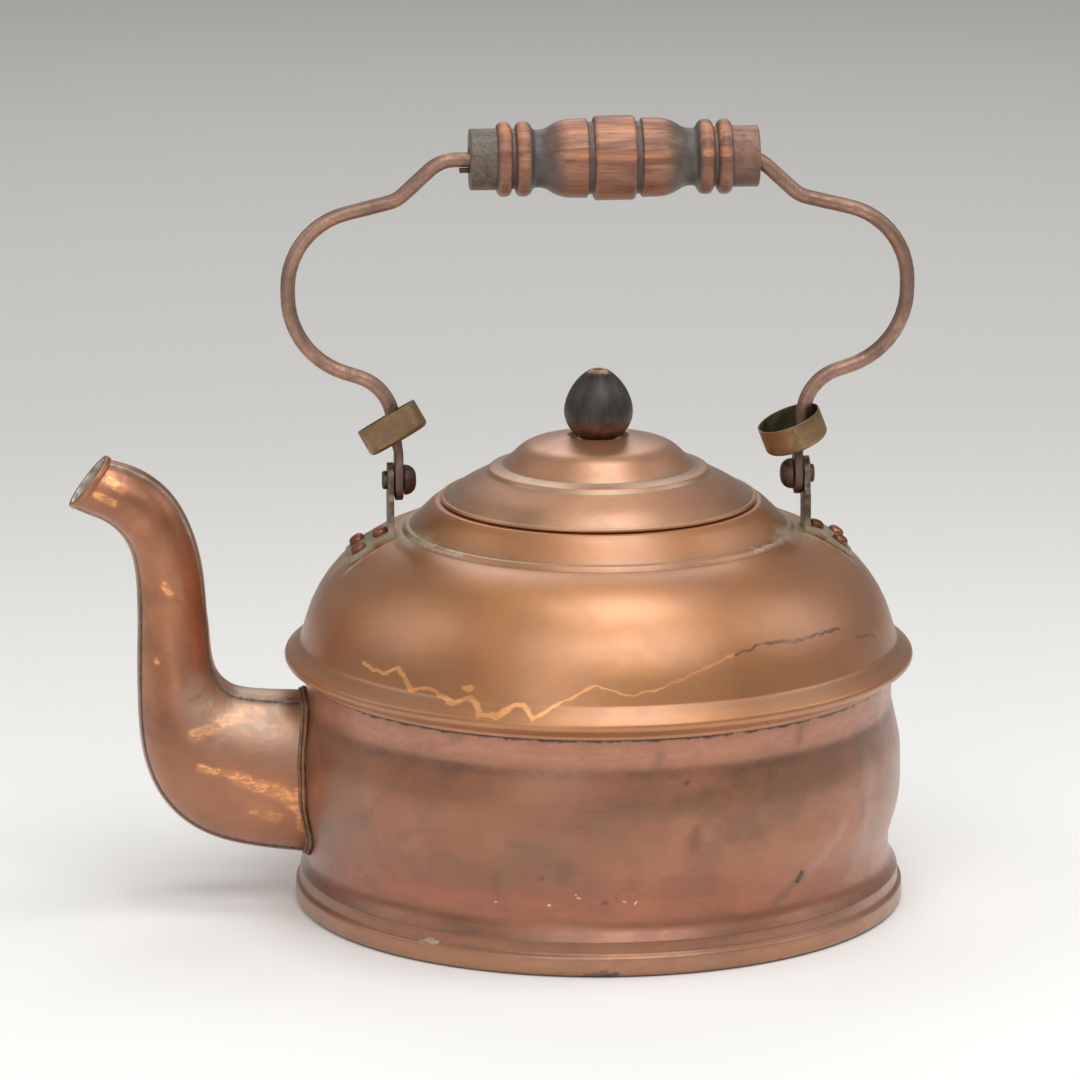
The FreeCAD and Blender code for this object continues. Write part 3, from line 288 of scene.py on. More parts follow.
class Graph:
    """Short calls for adding and linking nodes in one tree."""

    def __init__(self, tree: NodeTree) -> None:
        """Work in this tree."""
        self.tree = tree

    def feed(self, node: Node, inputs: Inputs) -> Node:
        """Link sockets to a node's inputs, or set values on them.

        Args:
            node: The node.
            inputs: A socket to link or a value to set, by input name or number.

        Returns:
            The node.
        """
        for name, value in inputs.items():
            if isinstance(value, Socket):
                self.tree.links.new(value, node.inputs[name])
            else:
                node.inputs[name].default_value = value
        return node

    def add(self, kind: str, inputs: Inputs, **settings: object) -> Sockets:
        """Add a node, set its properties and feed its inputs.

        Args:
            kind: Blender's node type.
            inputs: A socket to link or a value to set, by input name or number.
            settings: Properties of the node.

        Returns:
            The node's outputs.
        """
        made = self.tree.nodes.new(kind)
        for name, value in settings.items():
            setattr(made, name, value)
        return self.feed(made, inputs).outputs

    def math(self, operation: str, first: object, second: object = 0.0) -> Socket:
        """A calculation on two values."""
        return self.add("ShaderNodeMath", {0: first, 1: second}, operation=operation)[0]

    def times(self, first: object, *others: object) -> Socket:
        """Product of values."""
        for other in others:
            first = self.math("MULTIPLY", first, other)
        return first

    def plus(self, first: object, second: object) -> Socket:
        """Sum of two values."""
        return self.math("ADD", first, second)

    def less(self, first: object, second: object) -> Socket:
        """The first value less the second."""
        return self.math("SUBTRACT", first, second)

    def vector(self, operation: str, first: Socket, second: object) -> Sockets:
        """Vector calculation on two vectors, or on a vector and its scale."""
        label = "Scale" if operation == "SCALE" else 1
        return self.add("ShaderNodeVectorMath", {0: first, label: second}, operation=operation)

    def split(self, vector: Socket) -> Sockets:
        """The three parts of a vector."""
        return self.add("ShaderNodeSeparateXYZ", {0: vector})

    def off_axis(self, part: Sockets) -> Socket:
        """Distance from the upright axis of a place in parts."""
        return self.math("SQRT", self.plus(self.times(part[0], part[0]), self.times(part[1], part[1])))

    def step(self, value: Socket, low: object, high: object, to_low: float = 0.0,
             to_high: float = 1.0) -> Socket:
        """Smooth step of a value between two limits."""
        inputs = {"Value": value, "From Min": low, "From Max": high, "To Min": to_low, "To Max": to_high}
        return self.add("ShaderNodeMapRange", inputs, interpolation_type="SMOOTHSTEP")["Result"]

    def span(self, mask: Socket, low: float, high: float) -> Socket:
        """Bring a mask from nought and one to two other values."""
        return self.step(mask, 0.0, 1.0, low, high)

    def mix(self, share: object, first: object, second: object) -> Socket:
        """Blend two colours by a share."""
        return self.add("ShaderNodeMix", {0: share, 6: first, 7: second}, data_type="RGBA")[2]

    def lay(self, colour: Socket, tone: object, mask: Socket, strength: float) -> Socket:
        """Lay a tone over a colour where a mask is, at a strength."""
        return self.mix(self.times(mask, strength), colour, tone)

    def group(self, tree: NodeTree, **inputs: object) -> Sockets:
        """Place a node group and feed it."""
        return self.add("ShaderNodeGroup", inputs, node_tree=tree)

    def object_place(self) -> Socket:
        """Place on the piece, in the frame of the model."""
        return self.add("ShaderNodeTexCoord", {})["Object"]

    def mask(self, name: str) -> Socket:
        """A mask kept on the mesh: inside is one on inner surfaces, seam is one along seams."""
        return self.add("ShaderNodeAttribute", {}, attribute_name=name)["Fac"]

    def bump(self, height: Socket, distance: float, strength: float) -> Socket:
        """Normal of a height, its depth in metres."""
        return self.add("ShaderNodeBump", {"Height": height, "Distance": distance, "Strength": strength})[0]


@dataclass(frozen=True)
class Noise:
    """A cloudy pattern: waves per metre and character, on places stretched and shifted to another patch."""

    scale: float
    detail: float
    rough: float
    bend: float = 0.0
    stretch: tuple[float, float, float] | None = None
    shift: float = 0.0

    def on(self, g: Graph, place: Socket) -> Socket:
        """The pattern at a place."""
        if self.stretch is not None:
            patch = (self.shift, self.shift * 0.7, self.shift * 1.3)
            place = g.add("ShaderNodeMapping", {"Vector": place, "Scale": self.stretch, "Location": patch})[0]
        return g.add("ShaderNodeTexNoise", {"Vector": place, "Scale": self.scale, "Detail": self.detail,
                                            "Roughness": self.rough, "Distortion": self.bend})[0]


# ---- pieces ----


def linked(name: str, data: ID) -> Object:
    """Put a mesh, light or camera into the scene."""
    made = bpy.data.objects.new(name, data)
    bpy.context.scene.collection.objects.link(made)
    return made


@contextmanager
def edited(mesh: Mesh) -> Iterator[bmesh.types.BMesh]:
    """Open a mesh for editing, then write it back with its faces turned outward."""
    work = bmesh.new()
    work.from_mesh(mesh)
    yield work
    bmesh.ops.recalc_face_normals(work, faces=work.faces)
    work.to_mesh(mesh)
    work.free()


def smoothed(mesh: Mesh, angle: float) -> None:
    """Shade a mesh smooth, but for edges past an angle."""
    mesh.polygons.foreach_set("use_smooth", [True] * len(mesh.polygons))
    mesh.set_sharp_from_angle(angle=angle)


def dressed(mesh: Mesh, material: Material) -> None:
    """Give a mesh one finish."""
    mesh.materials.clear()
    mesh.materials.append(material)


def declared(piece: Object, body: Body, nodes: Sequence[str]) -> Object:
    """Ride a piece on its body, hide the imported nodes that it replaces, and report it."""
    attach(piece, body.value)
    if nodes:
        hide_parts(*nodes)
    LOG.info("%s rides on %s, %d faces", piece.name, body.value, len(piece.data.polygons))
    return piece


def finished(name: str, shape: Shape, body: Body, material: Material,
             nodes: Sequence[str]) -> Object:
    """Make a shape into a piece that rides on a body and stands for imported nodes.

    Args:
        name: Name of the piece.
        shape: Its shape, in millimetres.
        body: Body that it moves with.
        material: Its finish.
        nodes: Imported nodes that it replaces.

    Returns:
        The piece.
    """
    mesh = bpy.data.meshes.new(name)
    mesh.from_pydata((shape.points * MM).tolist(), [], shape.faces)
    for label, mask in (("inside", shape.inside), ("seam", shape.seams())):
        mesh.attributes.new(label, "FLOAT", "POINT").data.foreach_set("value", mask.astype(np.float32))
    with edited(mesh) as work:
        bmesh.ops.remove_doubles(work, verts=work.verts, dist=MERGE)
    smoothed(mesh, SHARP_ANGLE)
    dressed(mesh, material)
    return declared(linked(name, mesh), body, nodes)


def softened(name: str, node: str, edge: float, body: Body, material: Material) -> Object:
    """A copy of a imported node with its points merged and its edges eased.

    Args:
        name: Name of the piece.
        node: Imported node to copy.
        edge: Width of the eased edges, in millimetres.
        body: Body that it moves with.
        material: Its finish.

    Returns:
        The piece.
    """
    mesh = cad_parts[node].data.copy()
    mesh.name = name
    with edited(mesh) as work:
        bmesh.ops.remove_doubles(work, verts=work.verts, dist=2 * MERGE)
        sharp = [e for e in work.edges if len(e.link_faces) == 2 and e.calc_face_angle(0) > EASED_ANGLE]
        bmesh.ops.bevel(work, geom=sharp, offset=edge * MM, segments=2, affect="EDGES", profile=0.5,
                        clamp_overlap=True)
    smoothed(mesh, SOFT_ANGLE)
    dressed(mesh, material)
    return declared(linked(name, mesh), body, [node])


# ---- repeats and followers ----


class GeometryTree(ABC):
    """Geometry nodes with named inputs that end in plain geometry with a finish."""

    def __init__(self, name: str, inputs: dict[str, str]) -> None:
        """Build the tree.

        Args:
            name: Name of the tree.
            inputs: Socket type of each input by name; the first takes the mesh, one is the Finish.
        """
        self.tree = bpy.data.node_groups.new(name, "GeometryNodeTree")
        self.tree.is_modifier = True
        sockets = self.tree.interface
        self.inputs = {label: sockets.new_socket(label, in_out="INPUT", socket_type=kind).identifier
                       for label, kind in inputs.items()}
        sockets.new_socket("Result", in_out="OUTPUT", socket_type=GEOMETRY)
        g = Graph(self.tree)
        start = g.add("NodeGroupInput", {})
        real = g.add("GeometryNodeRealizeInstances", {"Geometry": self.shape(g, start)})["Geometry"]
        coat = g.add("GeometryNodeSetMaterial", {"Geometry": real, "Material": start["Finish"]})
        g.add("NodeGroupOutput", {"Result": coat["Geometry"]})

    @abstractmethod
    def shape(self, g: Graph, start: Sockets) -> Socket:
        """Add the nodes that make the geometry."""

    def baked(self, mesh: Mesh, values: dict[str, object]) -> Mesh:
        """Run the tree on a mesh.

        Args:
            mesh: Mesh that the tree starts from.
            values: Values by input name.

        Returns:
            The evaluated mesh, with no modifier left.
        """
        carrier = linked("carrier", mesh)
        modifier = carrier.modifiers.new("nodes", "NODES")
        modifier.node_group = self.tree
        for label, value in values.items():
            modifier[self.inputs[label]] = value
        graph = bpy.context.evaluated_depsgraph_get()
        plain = bpy.data.meshes.new_from_object(carrier.evaluated_get(graph))
        bpy.data.objects.remove(carrier)
        return plain


class BeadTree(GeometryTree):
    """Geometry nodes that run a round bead along a line of points."""

    def __init__(self) -> None:
        """Build the tree with its named inputs."""
        super().__init__("bead_along_line", {"Line": GEOMETRY, "Bead Radius": FLOAT, "Finish": MATERIAL})

    def shape(self, g: Graph, start: Sockets) -> Socket:
        """A ring swept along the line."""
        curve = g.add("GeometryNodeMeshToCurve", {"Mesh": start["Line"]})["Curve"]
        ring = g.add("GeometryNodeCurvePrimitiveCircle",
                     {"Resolution": BEAD_SIDES, "Radius": start["Bead Radius"]})["Curve"]
        sweep = g.add("GeometryNodeCurveToMesh", {"Curve": curve, "Profile Curve": ring})["Mesh"]
        return g.add("GeometryNodeSetShadeSmooth", {"Geometry": sweep})["Geometry"]

    def run(self, line: np.ndarray, radius: float, material: Material) -> Mesh:
        """Run one closed bead.

        Args:
            line: Points of its middle line, in millimetres.
            radius: Bead radius, in millimetres.
            material: Its finish.

        Returns:
            The bead as a plain mesh.
        """
        mesh = bpy.data.meshes.new("bead_line")
        count = len(line)
        mesh.from_pydata((line * MM).tolist(), [(i, (i + 1) % count) for i in range(count)], [])
        return self.baked(mesh, {"Bead Radius": radius * MM, "Finish": material})


class RivetTree(GeometryTree):
    """Geometry nodes that set one rivet on each point of a mesh, along the point's facing."""

    def __init__(self) -> None:
        """Build the tree with its named inputs."""
        super().__init__("rivets_on_points", {"Points": GEOMETRY, "Rivet": "NodeSocketObject", "Size": FLOAT,
                                              "Finish": MATERIAL})

    def shape(self, g: Graph, start: Sockets) -> Socket:
        """The rivet on every point."""
        single = g.add("GeometryNodeObjectInfo", {"Object": start["Rivet"]})["Geometry"]
        facing = g.add("GeometryNodeInputNamedAttribute", {"Name": "facing"}, data_type="FLOAT_VECTOR")
        turn = g.add("FunctionNodeAlignRotationToVector", {"Vector": facing["Attribute"]}, axis="Z")
        return g.add("GeometryNodeInstanceOnPoints", {
            "Points": start["Points"], "Instance": single, "Rotation": turn["Rotation"],
            "Scale": start["Size"]})["Instances"]

    def run(self, rivet: Object, points: np.ndarray, facing: np.ndarray,
            material: Material) -> Mesh:
        """Set rivets on points.

        Args:
            rivet: The rivet to repeat, standing on its own origin along Z.
            points: Places in millimetres.
            facing: Direction that each rivet's head looks.
            material: Their finish.

        Returns:
            All the rivets as one plain mesh.
        """
        mesh = bpy.data.meshes.new("rivet_points")
        mesh.from_pydata((points * MM).tolist(), [], [])
        mesh.attributes.new("facing", "FLOAT_VECTOR", "POINT").data.foreach_set("vector", facing.ravel())
        return self.baked(mesh, {"Rivet": rivet, "Size": 1.0, "Finish": material})


# ---- shared effects ----


def shader_group(name: str, fill: Callable[[Graph, Sockets], dict[str, Socket]], vectors: Sequence[str] = (),
                 floats: Sequence[str] = ()) -> NodeTree:
    """Build a shader node group once.

    Args:
        name: Name of the group.
        fill: Adds the nodes after the group's inputs and gives the sockets of its outputs by name.
        vectors: Names of the inputs that are vectors.
        floats: Names of the inputs that are values.

    Returns:
        The group.
    """
    tree = bpy.data.node_groups.new(name, "ShaderNodeTree")
    for label, kind in [(v, VECTOR) for v in vectors] + [(f, FLOAT) for f in floats]:
        tree.interface.new_socket(label, in_out="INPUT", socket_type=kind)
    g = Graph(tree)
    made = fill(g, g.add("NodeGroupInput", {}))
    for label, socket in made.items():
        kind = VECTOR if socket.type == "VECTOR" else FLOAT
        tree.interface.new_socket(label, in_out="OUTPUT", socket_type=kind)
    g.add("NodeGroupOutput", made)
    return tree


class Effects:
    """Shader groups that several finishes share."""

    def __init__(self) -> None:
        """Build every group."""
        self.wrap = shader_group("wrapped_place", self._wrap)
        self.mottle = shader_group("mottle", self._mottle, ["Place"], ["Scale"])
        self.brush = shader_group("spun_lines", self._brush, ["Wrapped"])
        self.band = shader_group("height_band", self._band, [], ["Height", "Middle", "Width"])
        self.stroke = shader_group("stroke", self._stroke, ["Place", "From", "To"], ["Width", "Edge"])
        self.specks = shader_group("specks", self._specks, ["Place"], ["Scale", "Size", "Share"])

    @staticmethod
    def _wrap(g: Graph, start: Sockets) -> dict[str, Socket]:
        """Height, and a vector of the distance round the kettle from its front, the radius and the height."""
        part = g.split(g.object_place())
        around = g.times(g.math("ARCTAN2", part[0], g.times(part[1], -1.0)), WRAP_RADIUS)
        wrapped = g.add("ShaderNodeCombineXYZ", {0: around, 1: g.off_axis(part), 2: part[2]})[0]
        return {"Height": part[2], "Wrapped": wrapped}

    @staticmethod
    def _mottle(g: Graph, start: Sockets) -> dict[str, Socket]:
        """Three sizes of cloudiness."""
        place = g.vector("SCALE", start["Place"], start["Scale"])[0]
        return {"Broad": g.step(Noise(14.0, 3.0, 0.5, 0.4).on(g, place), 0.32, 0.68),
                "Patch": g.step(Noise(55.0, 5.0, 0.62, 0.8).on(g, place), 0.42, 0.66),
                "Fine": g.step(Noise(320.0, 4.0, 0.6).on(g, place), 0.38, 0.64)}

    @staticmethod
    def _brush(g: Graph, start: Sockets) -> dict[str, Socket]:
        """Fine lines round a spun piece, and sparser scratches."""
        lines = Noise(1500.0, 3.0, 0.7, stretch=(0.03, 1.0, 1.0)).on(g, start["Wrapped"])
        scratch = Noise(420.0, 2.0, 0.5, 0.3, (0.06, 1.0, 1.0), 3.0).on(g, start["Wrapped"])
        return {"Lines": lines, "Scratch": g.step(scratch, 0.62, 0.74)}

    @staticmethod
    def _band(g: Graph, start: Sockets) -> dict[str, Socket]:
        """One in the middle of a band, falling to nought at its half width."""
        away = g.math("ABSOLUTE", g.less(start["Height"], start["Middle"]))
        return {"Mask": g.step(g.less(1.0, g.math("DIVIDE", away, start["Width"])), 0.0, 1.0)}

    @staticmethod
    def _stroke(g: Graph, start: Sockets) -> dict[str, Socket]:
        """One near the straight line between two places; Edge is the share of the width that fades."""
        run = g.vector("SUBTRACT", start["To"], start["From"])[0]
        here = g.vector("SUBTRACT", start["Place"], start["From"])[0]
        share = g.math("DIVIDE", g.vector("DOT_PRODUCT", here, run)["Value"],
                       g.vector("DOT_PRODUCT", run, run)["Value"])
        reach = g.vector("SCALE", run, g.add("ShaderNodeClamp", {0: share})[0])[0]
        gap = g.vector("DISTANCE", here, reach)["Value"]
        near = g.less(1.0, g.math("DIVIDE", gap, start["Width"]))
        return {"Mask": g.step(near, 0.0, start["Edge"])}

    @staticmethod
    def _specks(g: Graph, start: Sockets) -> dict[str, Socket]:
        """Scattered dots, a share of them left in."""
        cells = g.add("ShaderNodeTexVoronoi", {"Vector": start["Place"], "Scale": start["Scale"]})
        dot = g.math("LESS_THAN", cells["Distance"], start["Size"])
        part = g.add("ShaderNodeSeparateColor", {0: cells["Color"]})[0]
        return {"Mask": g.times(dot, g.math("LESS_THAN", part, start["Share"]))}


def banded(g: Graph, effects: Effects, colour: Socket, tone: Colour, level: Socket, bands: Sequence[Corner],
           broken: Socket) -> Socket:
    """Lay a tone in bands of height, radius or length.

    Args:
        g: Graph of the material.
        effects: Shared shader groups.
        colour: Colour so far.
        tone: Tone of the bands.
        level: Height, radius or length at each place.
        bands: Middle and half width in millimetres, and strength.
        broken: Pattern that breaks the bands up.

    Returns:
        The new colour.
    """
    for middle, width, strength in bands:
        mask = g.group(effects.band, Height=level, Middle=middle * MM, Width=width * MM)["Mask"]
        colour = g.lay(colour, tone, g.times(mask, broken), strength)
    return colour


# ---- finishes ----


@dataclass(frozen=True)
class Stroke:
    """A straight stroke on a spun piece: degrees from the front and height of its ends, and its half width.

    The height and the half width are millimetres.
    """

    start: tuple[float, float]
    end: tuple[float, float]
    width: float

    def mask(self, g: Graph, effects: Effects, place: Socket, edge: float) -> Socket:
        """Mask of the stroke on wrapped places, with the share of its width that fades."""
        first, last = ((math.radians(angle) * WRAP_RADIUS, 0.0, height * MM)
                       for angle, height in (self.start, self.end))
        return g.group(effects.stroke, Place=place, From=first, To=last, Width=self.width * MM,
                       Edge=edge)["Mask"]


@dataclass(frozen=True)
class Mark:
    """Strokes of one tone on a spun piece, whole or eaten away in places."""

    strokes: tuple[Stroke, ...]
    tone: Colour
    strength: float = 1.0
    eaten: float = 0.0
    dull: float = 0.0
    edge: float = 0.45

    def mask(self, g: Graph, effects: Effects, place: Socket, gnaw: Socket) -> Socket:
        """Mask of all the strokes together, less what a pattern eats away."""
        mask, *others = (stroke.mask(g, effects, place, self.edge) for stroke in self.strokes)
        for other in others:
            mask = g.math("MAXIMUM", mask, other)
        return g.times(mask, g.less(1.0, g.times(gnaw, self.eaten)), self.strength)


def spot(angle: float, height: float, width: float, run: float = 0.3, rise: float = 0.1) -> Stroke:
    """A short stroke: a spot at an angle from the front and a height."""
    return Stroke((angle, height), (angle + run, height + rise), width)


def line_of_strokes(points: Sequence[tuple[float, float]], widths: Sequence[float]) -> tuple[Stroke, ...]:
    """Strokes from point to point, each with its own width."""
    return tuple(Stroke(a, b, w) for a, b, w in zip(points, points[1:], widths))


@dataclass(frozen=True)
class Finish(ABC):
    """A finish on a Principled shader."""

    name: str

    def material(self, effects: Effects) -> Material:
        """Build the material.

        Args:
            effects: Shared shader groups.

        Returns:
            The material.
        """
        material = bpy.data.materials.new(self.name)
        material.use_nodes = True
        g = Graph(material.node_tree)
        shader = next(n for n in g.tree.nodes if n.type == "BSDF_PRINCIPLED")
        g.feed(shader, self.paint(g, effects))
        return material

    @abstractmethod
    def paint(self, g: Graph, effects: Effects) -> Inputs:
        """Sockets and values for the shader's inputs."""


@dataclass(frozen=True)
class CopperFinish(Finish):
    """Aged spun copper: two tones, a crease tone that is deposit on the dome and lid and painted shade on the
    wall, brushing, and marks of use, some of them painted glints, sheen and shade.

    Heights and widths of bands are millimetres.
    """

    light: Colour
    deep: Colour
    blush: Colour
    grime_and_crease_shade: Colour
    rough: tuple[float, float]
    stain: Colour
    stained: float
    patchy: float
    creases: tuple[Corner, ...]
    blush_bands: tuple[Corner, ...] = ()
    rings: tuple[Corner, ...] = ()
    brushed: float = 0.22
    marks: tuple[Mark, ...] = ()
    scale: float = 1.0
    gloss: float = 1.8
    pools: ClassVar[Noise] = Noise(30.0, 4.0, 0.55, 0.5, (1.0, 1.0, 1.5), 0.4)
    gnawing: ClassVar[Noise] = Noise(330.0, 6.0, 0.68, 0.4, (0.3, 1.0, 1.0), 0.2)

    def paint(self, g: Graph, effects: Effects) -> Inputs:
        """Sockets and values for the shader's inputs."""
        wrap, place = g.group(effects.wrap), g.object_place()
        wrapped = wrap["Wrapped"]
        cloud = g.group(effects.mottle, Place=place, Scale=self.scale)
        lines = g.group(effects.brush, Wrapped=wrapped)
        colour = g.mix(cloud["Broad"], self.deep, self.light)
        colour = g.lay(colour, self.blush, cloud["Patch"], self.patchy)
        colour = g.lay(colour, self.stain, g.step(self.pools.on(g, place), 0.46, 0.60), self.stained)
        colour = g.mix(g.step(lines["Lines"], 0.3, 0.7, 0.0, self.brushed), colour, self.light)
        colour = g.lay(colour, self.light, lines["Scratch"], self.brushed)
        height, radius, broken = wrap["Height"], g.split(wrapped)[1], g.span(cloud["Fine"], 0.55, 1.0)
        # Bands of the crease tone: painted shade in the wall's creases, deposit in those of the dome and lid.
        for tone, level, bands in ((self.blush, height, self.blush_bands), (self.grime_and_crease_shade, height, self.creases),
                                   (self.grime_and_crease_shade, radius, self.rings)):
            colour = banded(g, effects, colour, tone, level, bands, broken)
        specks = g.group(effects.specks, Place=place, Scale=95.0, Size=0.06, Share=0.2)["Mask"]
        colour = g.lay(colour, self.grime_and_crease_shade, specks, 0.35)
        rough = g.plus(g.span(cloud["Patch"], *self.rough), g.times(lines["Lines"], 0.10))
        ragged = self.ragged(g, wrapped)
        gnaw = g.step(self.gnawing.on(g, wrapped), 0.42, 0.60)
        for mark in self.marks:
            mask = mark.mask(g, effects, ragged, gnaw)
            colour = g.mix(mask, colour, mark.tone)
            rough = g.plus(rough, g.times(mask, mark.dull))
        grain = g.plus(g.times(lines["Lines"], 0.35), cloud["Fine"])
        return {"Base Color": colour, "Roughness": rough, "Metallic": 0.86, "Coat Weight": 0.95,
                "Coat Roughness": 0.36, "Coat IOR": self.gloss, "Normal": g.bump(grain, 0.00006, 0.35)}

    @staticmethod
    def ragged(g: Graph, wrapped: Socket) -> Socket:
        """Wrapped places, shaken a little so that strokes have uneven edges and no radius counts."""
        shake = g.add("ShaderNodeTexNoise", {"Vector": wrapped, "Scale": 260.0, "Detail": 3.0})[1]
        shift = g.vector("SCALE", g.vector("SUBTRACT", shake, (0.5, 0.5, 0.5))[0], 0.0028)[0]
        return g.vector("MULTIPLY", g.vector("ADD", wrapped, shift)[0], (1.0, 0.0, 1.0))[0]


@dataclass(frozen=True)
class PlainMetal(Finish):
    """Metal with two tones, a deposit in patches and a rough grain.

    The tone of lower is full below its first height and gone above its second, both in millimetres.
    """

    light: Colour
    deep: Colour
    deposit: Colour
    rough: tuple[float, float]
    amount: float
    metallic: float = 1.0
    inner: Colour | None = None
    lower: tuple[float, float, Colour] | None = None

    def paint(self, g: Graph, effects: Effects) -> Inputs:
        """Sockets and values for the shader's inputs."""
        place = g.object_place()
        cloud = g.group(effects.mottle, Place=place, Scale=3.0)
        colour = g.mix(cloud["Broad"], self.deep, self.light)
        colour = g.lay(colour, self.deep, cloud["Fine"], 0.4)
        mask = g.times(cloud["Patch"], self.amount)
        colour = g.mix(mask, colour, self.deposit)
        if self.lower is not None:
            full, none, tone = self.lower
            colour = g.mix(g.step(g.split(place)[2], none * MM, full * MM, 0.0, 0.8), colour, tone)
        if self.inner is not None:
            colour = g.mix(g.times(g.mask("inside"), g.span(cloud["Patch"], 0.6, 1.0)), colour, self.inner)
        return {"Base Color": colour, "Roughness": g.span(cloud["Patch"], *self.rough),
                "Metallic": g.less(self.metallic, g.times(mask, 0.8 * self.metallic)),
                "Normal": g.bump(cloud["Fine"], 0.00012, 0.4)}


@dataclass(frozen=True)
class WoodFinish(Finish):
    """Turned wood with grain along X, burnt grooves, sooty patches, painted shade on its lower side, and
    tenons stained apart.

    Bands and the inner ends of the tenons are places along X in millimetres; the heights of the painted shade
    below are in metres.
    """

    light: Colour
    deep: Colour
    burnt: Colour
    bands: tuple[Corner, ...]
    left_end: float
    right_end: float
    fibres: ClassVar[Noise] = Noise(900.0, 5.0, 0.65, 0.3, (0.05, 1.0, 1.0))
    figures: ClassVar[Noise] = Noise(150.0, 3.0, 0.5, 1.2, (0.12, 1.0, 1.0), 2.0)
    pitting: ClassVar[Noise] = Noise(1400.0, 2.0, 0.5, 0.0, (0.035, 1.0, 1.0), 5.0)
    smoke: ClassVar[Noise] = Noise(110.0, 5.0, 0.65, 0.5, (0.6, 1.0, 1.0), 7.0)
    wear: ClassVar[Noise] = Noise(160.0, 4.0, 0.6)
    fade: ClassVar[float] = 0.3
    painted_shade_below: ClassVar[tuple[float, float]] = (0.284, 0.268)

    def paint(self, g: Graph, effects: Effects) -> Inputs:
        """Sockets and values for the shader's inputs."""
        place = g.object_place()
        part = g.split(place)
        fibre, figure = self.fibres.on(g, place), self.figures.on(g, place)
        pores = g.step(self.pitting.on(g, place), 0.58, 0.66)
        colour = g.mix(g.step(figure, 0.35, 0.65), self.deep, self.light)
        colour = g.mix(g.step(fibre, 0.35, 0.7, 0.0, 0.55), colour, self.deep)
        colour = g.lay(colour, self.burnt, pores, 0.45)
        # Painted shade: the lower side of the grip is darkened as if lit from above; the same dark tone also
        # lays sooty patches.
        under_shade = g.step(part[2], *self.painted_shade_below)
        soot_and_under_shade = g.math("MAXIMUM", g.times(g.step(self.smoke.on(g, place), 0.52, 0.68), 0.6),
                      g.times(under_shade, g.step(figure, 0.3, 0.7, 0.2, 0.7)))
        colour = g.mix(soot_and_under_shade, colour, shade(88, 55, 45))
        worn = g.step(self.wear.on(g, place), 0.3, 0.6, 0.85, 1.0)
        colour = banded(g, effects, colour, self.burnt, part[0], self.bands, worn)
        cloud = g.group(effects.mottle, Place=place, Scale=4.0)
        grey = g.mix(cloud["Patch"], shade(104, 94, 78), shade(46, 56, 49))
        grey = g.lay(grey, shade(40, 36, 30), cloud["Fine"], 0.65)
        bare = g.mix(cloud["Patch"], shade(142, 96, 72), shade(70, 60, 55))
        # Painted shade on the lower side of the right tenon.
        bare = g.lay(bare, shade(62, 56, 53), under_shade, 0.75)
        for end, fade, tone, strength in ((self.left_end, -self.fade, grey, 0.88),
                                          (self.right_end, self.fade, bare, 0.8)):
            mask = g.step(part[0], (end - fade) * MM, (end + fade) * MM)
            colour = g.lay(colour, tone, mask, strength)
        grain = g.less(fibre, g.times(pores, 0.6))
        return {"Base Color": colour, "Roughness": g.step(fibre, 0.3, 0.7, 0.42, 0.62), "Coat Weight": 0.4,
                "Coat Roughness": 0.42, "Normal": g.bump(grain, 0.00025, 0.45)}


@dataclass(frozen=True)
class EbonyFinish(Finish):
    """Blackened wood with a worn pale tip and a red-brown worn foot, at heights in millimetres."""

    foot: float
    tip: float
    fibres: ClassVar[Noise] = Noise(700.0, 4.0, 0.6, 0.0, (1.0, 1.0, 0.1))

    def paint(self, g: Graph, effects: Effects) -> Inputs:
        """Sockets and values for the shader's inputs."""
        place = g.object_place()
        part = g.split(place)
        cloud = g.group(effects.mottle, Place=place, Scale=4.0)
        grain = self.fibres.on(g, place)
        colour = g.mix(g.step(grain, 0.35, 0.7), shade(26, 22, 20), shade(50, 42, 37))
        colour = g.lay(colour, shade(74, 62, 54), cloud["Fine"], 0.35)
        colour = banded(g, effects, colour, shade(116, 62, 44), part[2], ((self.foot + 5.2, 6.2, 0.85),),
                        g.step(grain, 0.3, 0.62, 0.25, 1.0))
        reach = g.off_axis(part)
        edge = g.plus(reach, g.times(cloud["Fine"], 0.0012))
        tip = g.times(g.step(part[2], (self.tip - 1.6) * MM, (self.tip - 0.7) * MM),
                      g.step(edge, 0.0056, 0.0046))
        bare = g.mix(cloud["Patch"], shade(176, 146, 112), shade(122, 94, 70))
        bare = g.lay(bare, shade(66, 48, 38), g.step(reach, 0.0024, 0.0014), 0.8)
        return {"Base Color": g.mix(tip, colour, bare), "Roughness": g.span(cloud["Patch"], 0.42, 0.56),
                "Coat Weight": 0.12, "Coat Roughness": 0.4, "Normal": g.bump(grain, 0.0002, 0.35)}


